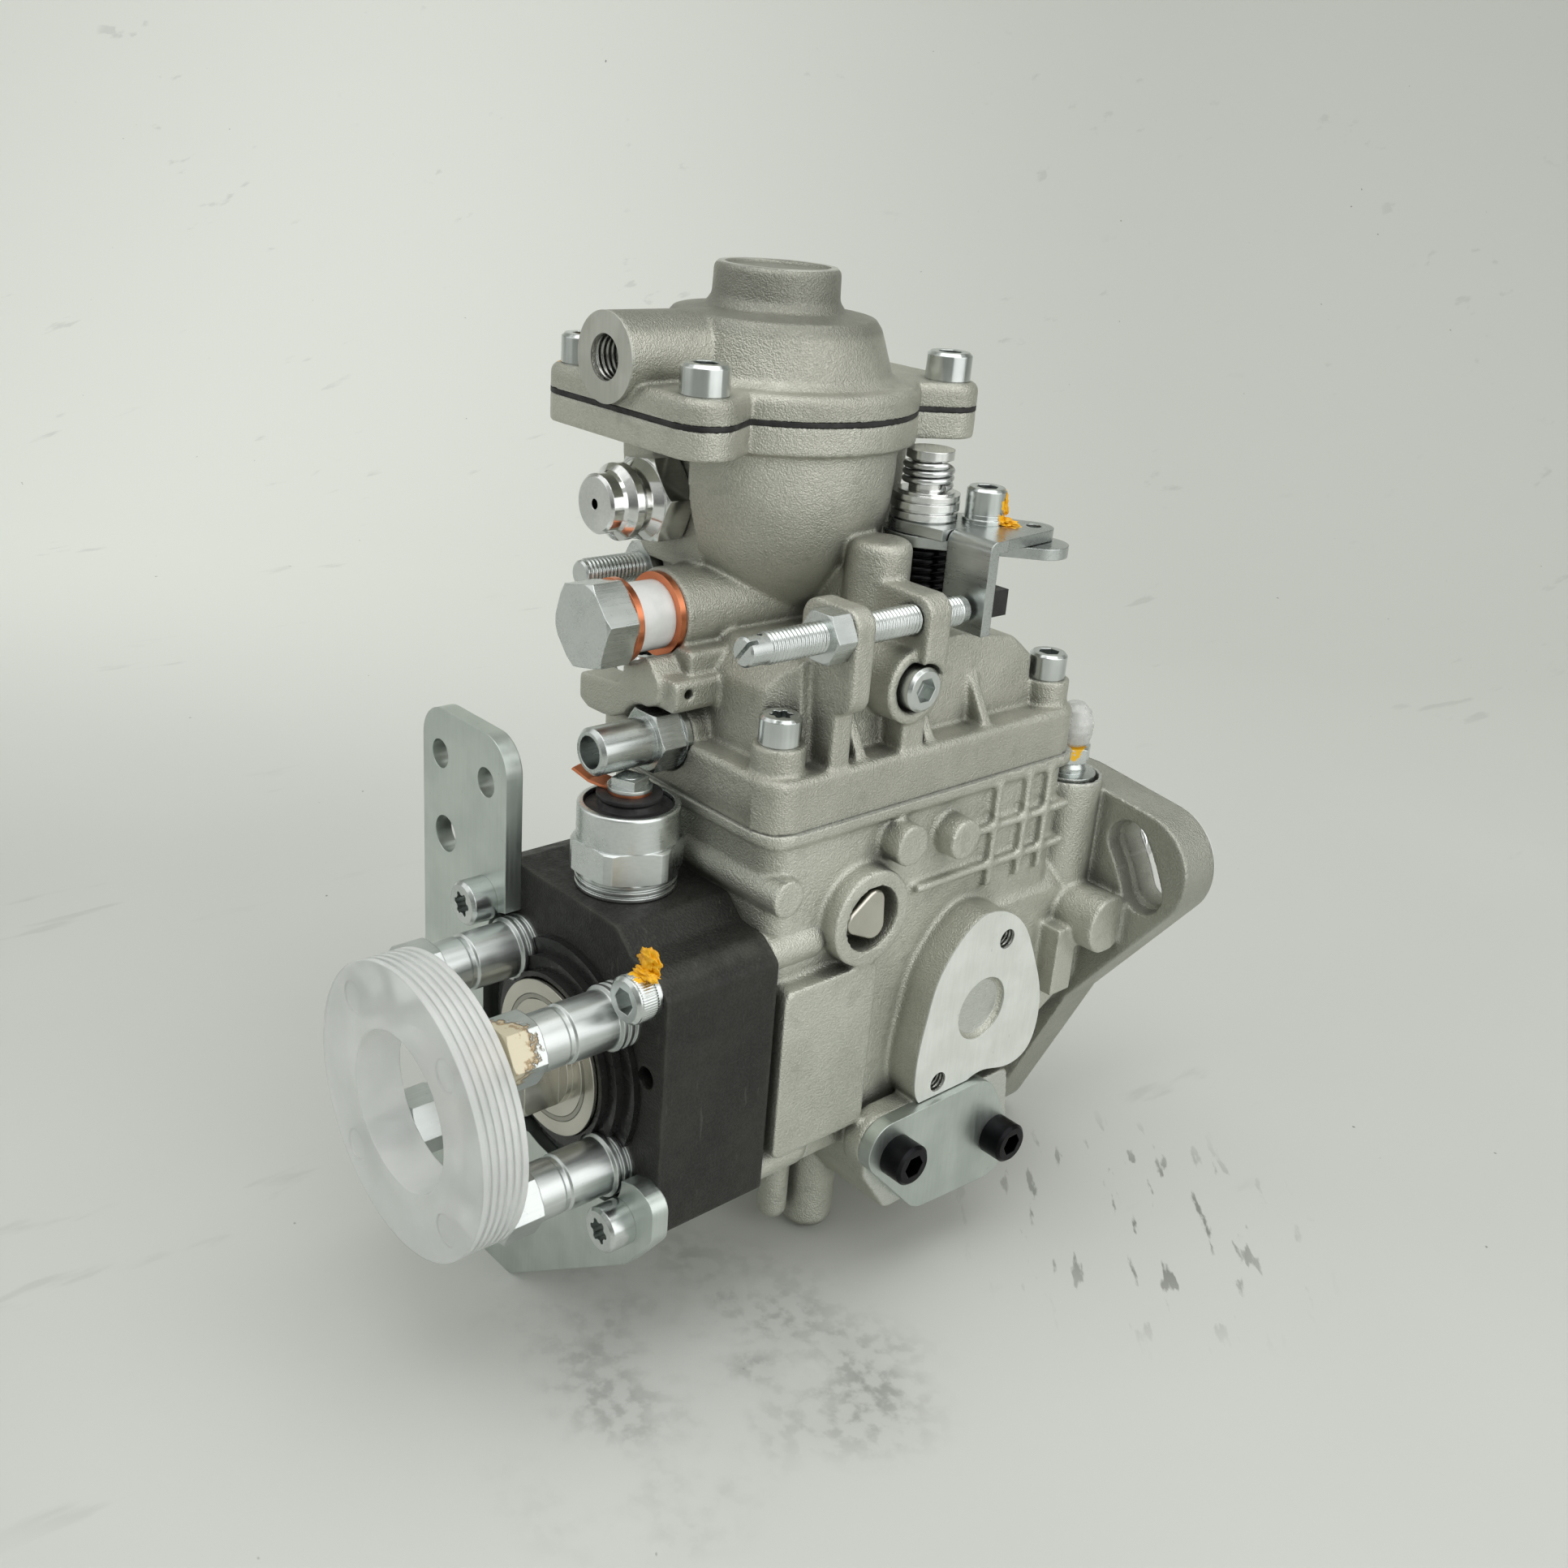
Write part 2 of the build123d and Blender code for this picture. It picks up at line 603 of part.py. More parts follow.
def section_plane(axis, start, spot):
    """Plane across one axis with its own axes along the other two."""
    if axis == "X":
        return Plane(origin=(start, spot[0], spot[1]), x_dir=(0, 1, 0), z_dir=(1, 0, 0))
    if axis == "Y":
        return Plane(origin=(spot[0], start, spot[1]), x_dir=(1, 0, 0), z_dir=(0, -1, 0))
    return Plane(origin=(spot[0], spot[1], start), x_dir=(1, 0, 0), z_dir=(0, 0, 1))


def prism(axis, sketch, start, end, spot=(0, 0)):
    """Sketch pushed along one axis from start to end."""
    length = start - end if axis == "Y" else end - start
    return extrude(section_plane(axis, start, spot) * sketch, length)


def outline(points, corner=0.0):
    """Closed polygon with all its corners rounded alike."""
    face = make_face(Polyline(*points, close=True))
    return fillet(face.vertices(), corner) if corner else face


def turned(axis, profile, spot):
    """Solid of revolution from (radius, position) pairs along one axis."""
    points = list(profile)
    if points[0][0] > 0:
        points = [(0, points[0][1])] + points
    if points[-1][0] > 0:
        points = points + [(0, points[-1][1])]
    solid = revolve(make_face(Polyline(*points, close=True)), Axis.Y)
    if axis == "X":
        return Pos(0, spot[0], spot[1]) * Rot(0, 0, -90) * solid
    if axis == "Y":
        return Pos(spot[0], 0, spot[1]) * solid
    return Pos(spot[0], spot[1], 0) * Rot(90, 0, 0) * solid


def ring(axis, outer, inner, start, end, spot):
    """Flat ring or tube."""
    return rod(axis, outer, start, end, spot) - rod(axis, inner, start - OVERRUN, end + OVERRUN, spot)


def hexagon(flats, turn=0):
    """Regular hexagon given across its flats."""
    return Rot(0, 0, turn) * RegularPolygon(flats / 2, 6, major_radius=False)


def hex_nut(axis, flats, start, end, spot, turn=0):
    """Hexagonal prism with both ends turned down at the corners."""
    body = prism(axis, hexagon(flats, turn), start, end, spot)
    corner = flats / math.sqrt(3)
    face = corner * FACE_SHARE
    slope = (corner - face) * SLOPE_SHARE
    mask = turned(axis, ((face, start), (corner, start + slope), (corner, end - slope), (face, end)), spot)
    return body & mask


def cap_screw(axis, seat, way, spot, head_r, head, shank_r, shank, socket="hex"):
    """Socket head screw whose head stands on its seat, pointing along way."""
    edge = head_r * EDGE_SHARE
    top = seat + way * head
    profile = ((shank_r, seat - way * shank), (shank_r, seat), (head_r, seat), (head_r, top - way * edge),
               (head_r - edge, top))
    if way < 0:
        profile = tuple(reversed(profile))
    screw = turned(axis, profile, spot)
    reach = head * SOCKET_SHARE
    if socket == "hex":
        tool = hexagon(head_r)
    else:
        tool = star(head_r * STAR_SHARE)
    low, high = sorted((top - way * reach, top + way * OVERRUN))
    return screw - prism(axis, tool, low, high, spot)


def star(radius):
    """Six lobed socket outline."""
    shape = Circle(radius)
    for i in range(TORX_LOBES):
        shape += Rot(0, 0, 360 / TORX_LOBES * i) * Pos(radius, 0) * Circle(radius * LOBE_SHARE)
    return shape


def coil(axis, radius, wire, start, end, spot, turns):
    """Open coil spring that fits between start and end."""
    height = end - start - 2 * wire
    path = Helix(height / turns, height, radius)
    profile = Plane(origin=path @ 0, z_dir=path % 0) * Circle(wire)
    solid = sweep(profile, path=path, is_frenet=True)
    low = start + wire
    if axis == "X":
        return Pos(low, spot[0], spot[1]) * Rot(0, 90, 0) * solid
    if axis == "Y":
        return Pos(spot[0], low, spot[1]) * Rot(-90, 0, 0) * solid
    return Pos(spot[0], spot[1], low) * solid


def polar_spots(count, radius, start_deg=0.0):
    """Points evenly spread on a circle."""
    step = 360 / count
    angles = [math.radians(start_deg + step * i) for i in range(count)]
    return [(radius * math.cos(a), radius * math.sin(a)) for a in angles]


def hull_of(circles):
    """Outline stretched round circles given as (across, up, radius)."""
    edges = []
    for across, up, radius in circles:
        edges += (Pos(across, up) * Circle(radius)).edges()
    return make_hull(edges)


def union(shapes):
    """All shapes fused into one."""
    result = shapes[0]
    for shape in shapes[1:]:
        result += shape
    return result


# Boost unit outline, shared by the cup flange and the lid

def boost_outline():
    """Round rim with four screw ears, one at each corner."""
    shape = Pos(*CUP_AXIS) * Circle(RIM_R)
    for spot in LID_SCREWS:
        shape += hull_of(((*spot, EAR_R), (*CUP_AXIS, EAR_R)))
    for pair in (LID_SCREWS[:2], LID_SCREWS[2:]):
        shape += hull_of([(*spot, EAR_R) for spot in pair])
    return shape


# Housing

def flange():
    """Three lobed mounting flange with curved slots and a pilot."""
    hub = (0.0, 0.0, FLANGE_HUB_R)
    body = prism("Y", hull_of(UPPER_LOBES + (hub,)), FLANGE_FRONT_Y, FLANGE_SEAT_Y)
    body += prism("Y", hull_of((LOWER_LOBE, hub)), FLANGE_FRONT_Y, FLANGE_SEAT_Y)
    body += rod("Y", PILOT_R, FLANGE_SEAT_Y, FLANGE_SEAT_Y + PILOT_LENGTH, (0, 0))
    for angle in LOBE_ANGLES:
        pocket = slot_shape(angle, POCKET_R)
        body -= prism("Y", pocket, FLANGE_FRONT_Y - OVERRUN, FLANGE_FRONT_Y + POCKET_DEPTH)
        body -= prism("Y", slot_shape(angle, SLOT_R), FLANGE_FRONT_Y, FLANGE_SEAT_Y + OVERRUN)
    return body


def slot_shape(angle, radius):
    """Slot that follows the bolt circle to both sides of an angle."""
    middle = Rot(0, 0, angle - SLOT_SWEEP_DEG / 2)
    arc = middle * CenterArc((0, 0), SLOT_CIRCLE_R, 0, SLOT_SWEEP_DEG)
    return SlotArc(arc, 2 * radius)


def drive_neck():
    """Round drive end between the governor housing and the flange."""
    profile = ((NECK_R, NECK_START_Y), (NECK_R, HOUSING_REAR_Y), (NECK_TIP_R, FLANGE_FRONT_Y + OVERRUN))
    return turned("Y", profile, (0, 0)) & block((-HOUSING_X - NECK_SPARE, HOUSING_X + NECK_SPARE),
                                               (NECK_START_Y, FLANGE_SEAT_Y), (-NECK_R, JOINT_Z))


def timing_body():
    """Cylinder across the underside for the timing piston, with its base block."""
    body = rod("X", TIMING_WALL_R, -TIMING_HALF, TIMING_HALF, TIMING_AXIS)
    return body + prism("X", outline(TIMING_BASE, TIMING_BASE_CORNER), -TIMING_HALF, TIMING_HALF)


def housing_side_details():
    """Pads, ribs and bosses cast on the right hand side."""
    details = [prism("X", Pos(sum(PAD_Y) / 2, sum(PAD_Z) / 2)
                     * RectangleRounded(PAD_Y[1] - PAD_Y[0], PAD_Z[1] - PAD_Z[0], PAD_CORNER), 0, PAD_X)]
    details.append(prism("X", make_face(Spline(*ACCESSORY_OUTLINE, periodic=True)), 0, ACCESSORY_X))
    details.append(rod("X", PLUG_BOSS_R, 0, PLUG_BOSS_X, PLUG_AXIS))
    for y, z, radius, face in ROUND_PADS:
        details.append(rod("X", radius, 0, face, (y, z)))
    for z, start, end in LONG_RIBS:
        details.append(block((0, RIB_X), (start, end), (z - RIB_WIDTH / 2, z + RIB_WIDTH / 2)))
    for y in CROSS_RIBS_Y:
        details.append(block((0, RIB_X), (y - RIB_WIDTH / 2, y + RIB_WIDTH / 2), CROSS_RIB_Z))
    details.append(block((0, SMALL_PAD_X), SMALL_PAD_Y, SMALL_PAD_Z))
    details.append(rod("X", STUD_BOSS_R, *STUD_BOSS_X, STUD_BOSS_AXIS))
    return union(details)


def housing_cavity():
    """Space for the drive train, the governor and the timing piston."""
    cavity = rod("Y", BORE_R, HOUSING_FRONT_Y - OVERRUN, BORE_END_Y, (0, 0))
    cavity += block((-CHAMBER_X, CHAMBER_X), (CHAMBER_FRONT_Y, CHAMBER_REAR_Y),
                    (CHAMBER_LOW_Z, JOINT_Z + OVERRUN))
    cavity += rod("Y", SHAFT_BORE_R, BORE_END_Y - OVERRUN, FLANGE_SEAT_Y + PILOT_LENGTH + OVERRUN, (0, 0))
    cavity += rod("Y", SEAL_R, FLANGE_SEAT_Y + PILOT_LENGTH - SEAL_DEPTH,
                  FLANGE_SEAT_Y + PILOT_LENGTH + OVERRUN, (0, 0))
    cavity += rod("X", TIMING_BORE_R, -TIMING_HALF - OVERRUN, TIMING_HALF + OVERRUN, TIMING_AXIS)
    half_x, half_y = TIMING_WINDOW[0] / 2, TIMING_WINDOW[1] / 2
    cavity += block((-half_x, half_x), (TIMING_AXIS[0] - half_y, TIMING_AXIS[0] + half_y),
                    (TIMING_AXIS[1], 0))
    cavity += rod("Y", GOVERNOR_SHAFT_R, CHAMBER_REAR_Y - OVERRUN, GOVERNOR_SHAFT_Y[1], GOVERNOR_AXIS)
    for side in (-1, 1):
        start, end = sorted((side * (CHAMBER_X - OVERRUN), side * (CHAMBER_X + LEVER_PIN_SEAT)))
        cavity += rod("X", LEVER_PIN_R + RUN_CLEAR, start, end, LEVER_AXIS)
    return cavity


def housing():
    """Cast pump housing with its drive end and mounting flange."""
    span_y = (HOUSING_FRONT_Y, HOUSING_REAR_Y)
    middle_y = sum(span_y) / 2
    body = prism("Z", Pos(0, middle_y) * RectangleRounded(2 * HOUSING_X, span_y[1] - span_y[0],
                                                          HOUSING_CORNER),
                 HOUSING_BOTTOM_Z, JOINT_Z)
    lip_y = (LIP_FRONT_Y, HOUSING_REAR_Y + LIP_EDGE)
    lip = prism("Z", Pos(0, sum(lip_y) / 2) * RectangleRounded(2 * LIP_X, lip_y[1] - lip_y[0],
                                                               HOUSING_CORNER),
                LIP_LOW_Z, JOINT_Z)
    body += fillet(lip.edges().filter_by(Plane.XY).group_by(Axis.Z)[0], LIP_EDGE)
    body += drive_neck()
    body += flange()
    body += housing_side_details()
    body += timing_body()
    body += rod("Z", INLET_BOSS_R, 0, INLET_BOSS_Z, INLET_AXIS)
    for x, y, radius, low in FOOT_AXES:
        body += rod("Z", radius, low + radius * FOOT_SHARE, FOOT_TOP_Z, (x, y))
        body += Pos(x, y, low + radius * FOOT_SHARE) * scale(Sphere(radius), (1, 1, FOOT_SHARE))
    for side in (-1, 1):
        pad = prism("X", hull_of(TIMING_PAD), side * (TIMING_HALF - TIMING_PAD_T), side * TIMING_HALF)
        body += pad
    room = [(across, up, radius + PART_GAP) for across, up, radius in TIMING_PAD]
    body -= prism("X", hull_of(room), TIMING_HALF, ACCESSORY_X + OVERRUN)
    body -= housing_cavity()
    for spot in ACCESSORY_HOLES:
        body -= rod("X", ACCESSORY_HOLE_R, ACCESSORY_X - ACCESSORY_HOLE_DEPTH, ACCESSORY_X + OVERRUN, spot)
    body -= rod("X", ACCESSORY_RECESS_R, ACCESSORY_X - ACCESSORY_RECESS_DEPTH, ACCESSORY_X + OVERRUN,
                ACCESSORY_RECESS)
    body -= rod("X", PLUG_POCKET_R, PLUG_POCKET_X, PLUG_BOSS_X + OVERRUN, PLUG_AXIS)
    body -= rod("X", SIDE_PLUG_SHANK_R, CHAMBER_X + SIDE_PLUG_FLOOR, PLUG_POCKET_X + OVERRUN, PLUG_AXIS)
    body -= rod("Z", INLET_WELL_R, INLET_WELL_Z, INLET_BOSS_Z + OVERRUN, INLET_AXIS)
    body -= rod("Z", INLET_SHANK_R + RUN_CLEAR, INLET_SHANK_Z - OVERRUN, INLET_BOSS_Z, INLET_AXIS)
    for spot in TIMING_SCREWS:
        for side in (-1, 1):
            start, end = sorted((side * (TIMING_HALF - TIMING_SCREW_SHANK), side * (TIMING_HALF + OVERRUN)))
            body -= rod("X", TIMING_SCREW_SHANK_R, start, end, spot)
    for spot in COVER_SCREWS_FRONT + COVER_SCREWS_REAR:
        body -= rod("Z", COVER_SCREW_SHANK_R, SCREW_SEAT_Z - COVER_SCREW_SHANK - OVERRUN, JOINT_Z + OVERRUN,
                    spot)
    for spot in head_screw_spots():
        body -= rod("Y", HEAD_SCREW_SHANK_R, HOUSING_FRONT_Y - OVERRUN, HEAD_SCREW_SHANK + OVERRUN, spot)
    return body


def head_screw_spots():
    """Four corner screws of the distributor head."""
    d = HEAD_SCREW_OFFSET
    return [(d, d), (-d, d), (d, -d), (-d, -d)]


# Distributor head group

def distributor_head():
    """Black cast head block with the raised solenoid platform."""
    head = prism("Y", outline(HEAD_PROFILE, HEAD_CORNER * HEAD_ROUND_SHARE), 0, HEAD_DEPTH)
    head += rod("Y", BORE_R - RUN_CLEAR, HEAD_DEPTH, HEAD_SPIGOT_Y, (0, 0)) & rod(
        "Y", HEAD_SPIGOT_R, HEAD_DEPTH, HEAD_SPIGOT_Y, (0, 0))
    for radius, proud in HEAD_RINGS:
        head += rod("Y", radius, -proud, HEAD_DEPTH, (0, 0))
    head -= rod("Y", PLUG_DISC_R + PART_GAP, -HEAD_RINGS[-1][1] - OVERRUN, -PLUG_DISC_BED, (0, 0))
    head -= rod("Y", BARREL_BORE_R, BARREL_START_Y - OVERRUN, HEAD_SPIGOT_Y + OVERRUN, (0, 0))
    head -= rod("Y", PLUG_THREAD_R, -HEAD_RINGS[-1][1] - OVERRUN, BARREL_START_Y + OVERRUN, (0, 0))
    for spot in head_screw_spots():
        head -= rod("Y", HEAD_SCREW_SHANK_R, -OVERRUN, HEAD_DEPTH + OVERRUN, spot)
    for spot in holder_spots():
        head -= rod("Y", HOLDER_PROFILE[0][0], -HEAD_RINGS[-1][1] - OVERRUN, HOLDER_THREAD_Y, spot)
    head -= rod("Z", SOLENOID_THREAD[0][0], SOLENOID_THREAD[0][1] - SOLENOID_FLOOR, SOLENOID_SEAT_Z + OVERRUN,
                SOLENOID_AXIS)
    head -= rod("Y", HEAD_FACE_HOLE_R, -OVERRUN, HEAD_FACE_HOLE_DEPTH, HEAD_FACE_HOLE)
    return head


def holder_spots():
    """Four outlet positions on the head face."""
    d = HOLDER_OFFSET
    return [(d, d), (-d, d), (d, -d), (-d, -d)]


def central_plug():
    """Closing plug of the head with a wide disc and two spanner flats."""
    plug = rod("Y", PLUG_DISC_R, *PLUG_DISC_Y, (0, 0))
    neck = rod("Y", PLUG_NECK_R, *PLUG_NECK_Y, (0, 0))
    neck = fillet(neck.edges().group_by(Axis.Y)[0], PLUG_NECK_ROUND)
    flats = block((-PLUG_FLATS / 2, PLUG_FLATS / 2), (PLUG_NECK_Y[0], PLUG_DISC_Y[0]),
                  (-PLUG_DISC_R, PLUG_DISC_R))
    neck = (neck & flats) + rod("Y", PLUG_NECK_R, PLUG_DISC_Y[0] - PLUG_STEP, BARREL_START_Y - PART_GAP,
                                (0, 0))
    return plug + neck


def valve_holder(spot):
    """Delivery valve holder with thread rings, groove, hexagon and outlet tip."""
    holder = turned("Y", ((HOLDER_PROFILE[0][0], HOLDER_THREAD_Y),) + HOLDER_PROFILE, spot)
    holder += hex_nut("Y", HOLDER_HEX, *HOLDER_HEX_Y, spot)
    holder += rod("Y", HOLDER_TIP_R, HOLDER_TIP_Y, HOLDER_HEX_Y[0], spot)
    holder -= rod("Y", HOLDER_BORE_R, HOLDER_TIP_Y - OVERRUN, HOLDER_CHAMBER_Y + OVERRUN, spot)
    holder -= rod("Y", HOLDER_CHAMBER_R, HOLDER_CHAMBER_Y, HOLDER_THREAD_Y + OVERRUN, spot)
    return holder


def delivery_valve(spot):
    """Piston type delivery valve with a spring spigot."""
    valve = rod("Y", VALVE_R, VALVE_Y[0] + VALVE_SHOULDER, VALVE_Y[1], spot)
    valve += rod("Y", VALVE_STEM_R, *VALVE_Y, spot)
    return valve


def valve_spring(spot):
    """Spring that seats one delivery valve."""
    return coil("Y", VALVE_SPRING_R, VALVE_SPRING_WIRE, *VALVE_SPRING_Y, spot, VALVE_SPRING_TURNS)


def transport_cap():
    """Plastic ring that keeps the four outlets clean."""
    cap = ring("Y", CAP_R, CAP_HOLE_R, *CAP_Y, (0, 0))
    pitch = (CAP_Y[1] - CAP_Y[0]) / (CAP_GROOVES + 1)
    for i in range(CAP_GROOVES):
        middle = CAP_Y[0] + pitch * (i + 1)
        cap -= ring("Y", CAP_R + OVERRUN, CAP_R - CAP_GROOVE_DEPTH, middle - CAP_GROOVE_W / 2,
                    middle + CAP_GROOVE_W / 2, (0, 0)) & rod("Y", CAP_R + OVERRUN, middle - CAP_GROOVE_W / 2,
                                                            middle + CAP_GROOVE_W / 2, (0, 0))
    for spot in holder_spots():
        cap -= rod("Y", CAP_POCKET_R, CAP_POCKET_Y, CAP_Y[1] + OVERRUN, spot)
        cap -= rod("Y", CAP_MARK_R, CAP_Y[0] - OVERRUN, CAP_Y[0] + CAP_MARK_DEPTH, spot)
    return cap


def mounting_bracket():
    """Flat bracket plate under the head screws."""
    face = outline(BRACKET_OUTLINE)
    face = fillet(face.vertices().group_by(Axis.Y)[-1], BRACKET_TOP_R)
    face = fillet([spot for spot in face.vertices() if spot.Y < BRACKET_WAIST_Z], BRACKET_CORNER)
    plate = prism("Y", face, -BRACKET_T, 0)
    for x, z, radius in BRACKET_HOLES:
        plate -= rod("Y", radius, -BRACKET_T - OVERRUN, OVERRUN, (x, z))
    for spot in BRACKET_SCREW_SPOTS:
        plate -= rod("Y", HEAD_SCREW_SHANK_R + PART_GAP, -BRACKET_T - OVERRUN, OVERRUN, spot)
    for spot in holder_spots():
        plate -= rod("Y", BRACKET_CLEAR_R, -BRACKET_T - OVERRUN, OVERRUN, spot)
    return plate - rod("Y", HEAD_RINGS[0][0] + PART_GAP, -BRACKET_T - OVERRUN, OVERRUN, (0, 0))


# Shut-off solenoid

def solenoid_body():
    """Hexagon body with a round collar and a thread that enters the head."""
    body = turned("Z", SOLENOID_THREAD, SOLENOID_AXIS)
    hexagon_part = hex_nut("Z", SOLENOID_HEX, *SOLENOID_HEX_Z, SOLENOID_AXIS, SOLENOID_TURN)
    body += hexagon_part & rod("Z", SOLENOID_HEX_ROUND_R, *SOLENOID_HEX_Z, SOLENOID_AXIS)
    body += rod("Z", SOLENOID_RING_R, SOLENOID_HEX_Z[1], SOLENOID_RING_Z, SOLENOID_AXIS)
    body = fillet(body.edges().group_by(Axis.Z)[-1], SOLENOID_RING_WALL * ROUND_SHARE)
    body -= rod("Z", SOLENOID_RING_R - SOLENOID_RING_WALL, SOLENOID_RECESS_Z, SOLENOID_RING_Z + OVERRUN,
                SOLENOID_AXIS)
    body -= rod("Z", SOLENOID_BORE_R, SOLENOID_THREAD[0][1] - OVERRUN, SOLENOID_BORE_Z, SOLENOID_AXIS)
    return body


def solenoid_boot():
    """Rubber insulator under the terminal."""
    return turned("Z", BOOT_PROFILE, SOLENOID_AXIS) - rod("Z", STUD_R, SOLENOID_RECESS_Z, STUD_Z,
                                                          SOLENOID_AXIS)


def terminal():
    """Terminal stud with its washer and square nut."""
    top = BOOT_PROFILE[-1][1]
    parts = rod("Z", STUD_R - RUN_CLEAR, SOLENOID_RECESS_Z, STUD_Z, SOLENOID_AXIS)
    low = top + CLIP_T
    parts += rod("Z", TERMINAL_WASHER_R, low, low + TERMINAL_WASHER_T, SOLENOID_AXIS)
    nut = Pos(*SOLENOID_AXIS) * Rot(0, 0, TERMINAL_TURN) * Box(TERMINAL_NUT, TERMINAL_NUT, TERMINAL_NUT_T)
    parts += Pos(0, 0, low + TERMINAL_WASHER_T + TERMINAL_NUT_T / 2) * nut
    return parts


def terminal_clip():
    """Bent copper strip under the terminal washer."""
    low = BOOT_PROFILE[-1][1]
    clip = rod("Z", CLIP_R, low, low + CLIP_T, (0, 0))
    strip = extrude(Plane.XZ * make_face(Polyline(*CLIP_TONGUE, close=True)), CLIP_TONGUE_W / 2, both=True)
    clip += strip
    clip -= rod("Z", STUD_R, low - OVERRUN, low + CLIP_T + OVERRUN, (0, 0))
    return Pos(*SOLENOID_AXIS) * Rot(0, 0, CLIP_TURN) * clip


def solenoid_armature():
    """Plunger of the solenoid that opens the fuel passage."""
    low, high = ARMATURE_Z
    profile = ((ARMATURE_TIP_R, low), (ARMATURE_R, low + ARMATURE_TIP_R), (ARMATURE_R, high))
    return turned("Z", profile, SOLENOID_AXIS)


# Governor cover

def cover_roof():
    """Raised part of the cover with a sloping rear."""
    middle = (ROOF_LEFT_X + ROOF_RIGHT_X) / 2
    roof = prism("X", outline(ROOF_SIDE, ROOF_ROUND), ROOF_LEFT_X, ROOF_RIGHT_X)
    for side in (-1, 1):
        edge = ROOF_LEFT_X if side < 0 else ROOF_RIGHT_X
        cutter = Pos(edge, 0, LEDGE_Z) * Rot(0, -side * ROOF_TAPER, 0) * Pos(side * ROOF_SPAN / 2, middle_of(
            COVER_FRONT_Y, COVER_REAR_Y), 0) * Box(ROOF_SPAN, 2 * ROOF_SPAN, 2 * ROOF_SPAN)
        roof -= cutter
    return roof & Pos(middle, 0, 0) * block((-ROOF_SPAN, ROOF_SPAN), (COVER_FRONT_Y, COVER_REAR_Y),
                                            (JOINT_Z, LID_Z))


def middle_of(low, high):
    """Half way between two coordinates."""
    return (low + high) / 2


def cover_base():
    """Flat rim of the cover that stands on the housing."""
    centre = Pos(0, middle_of(COVER_FRONT_Y, COVER_REAR_Y))
    shape = centre * RectangleRounded(2 * COVER_X, COVER_REAR_Y - COVER_FRONT_Y, COVER_CORNER)
    base = prism("Z", shape, JOINT_Z, LEDGE_Z)
    return fillet(base.edges().group_by(Axis.Z)[-1], COVER_EDGE)


def gussets():
    """Tapered ribs between the ledge and the roof."""
    ribs = []
    points = ((ROOF_RIGHT_X - GUSSET_WIDTH, GUSSET_TOP_Z), (ROOF_RIGHT_X - GUSSET_WIDTH, LEDGE_Z - OVERRUN),
              (GUSSET_REACH, LEDGE_Z - OVERRUN))
    for y in GUSSET_Y:
        rib = prism("Y", make_face(Polyline(*points, close=True)), y - GUSSET_WIDTH / 2, y + GUSSET_WIDTH / 2)
        ribs.append(rib)
    return union(ribs)


def stop_screw_lugs():
    """Two upright lugs for the throttle stop screw."""
    lugs = []
    for span, low in zip((LUG_FRONT_Y, LUG_REAR_Y), LUG_LOW_Z):
        lug = prism("Y", Pos(middle_of(*LUG_X), middle_of(low, LUG_TOP_Z))
                    * RectangleRounded(LUG_X[1] - LUG_X[0], LUG_TOP_Z - low, LUG_CORNER), *span)
        root = block((LUG_X[0], LUG_X[1] - LUG_CORNER), span, (LEDGE_Z, LUG_TOP_Z - LUG_CORNER))
        lugs.append(lug + root)
    lugs.append(block((CUP_AXIS[0], LUG_X[0] + LUG_CORNER), LUG_REAR_Y, (LEDGE_Z, LUG_TOP_Z)))
    return union(lugs)


def front_block():
    """Cast stop block on the front of the cover."""
    plate = prism("Y", outline(BLOCK_PLATE, BLOCK_ROUND), *BLOCK_PLATE_Y)
    step = block(BLOCK_STEP_X, BLOCK_STEP_Y, BLOCK_STEP_Z)
    step = fillet(step.edges().filter_by(Axis.Y), BLOCK_ROUND)
    riser = block(BLOCK_RISER_X, BLOCK_RISER_Y, (BLOCK_STEP_Z[1] - OVERRUN, BLOCK_RISER_Z))
    riser = fillet(riser.edges().filter_by(Axis.Y).group_by(Axis.Z)[-1], BLOCK_ROUND)
    joined = plate + step + riser
    return joined - rod("X", BLOCK_HOLE_R, BLOCK_STEP_X[1] - BLOCK_HOLE_DEPTH, BLOCK_STEP_X[1] + OVERRUN,
                        BLOCK_HOLE)


def bowl():
    """Round bowl of the boost unit: one smooth side line turned about the cup axis."""
    low, high = CUP_PROFILE[0], CUP_PROFILE[-1]
    edges = Spline(*CUP_PROFILE) + Polyline(high, (0, high[1]), (0, low[1]), low)
    return Pos(*CUP_AXIS) * Rot(90, 0, 0) * revolve(make_face(edges), Axis.Y)


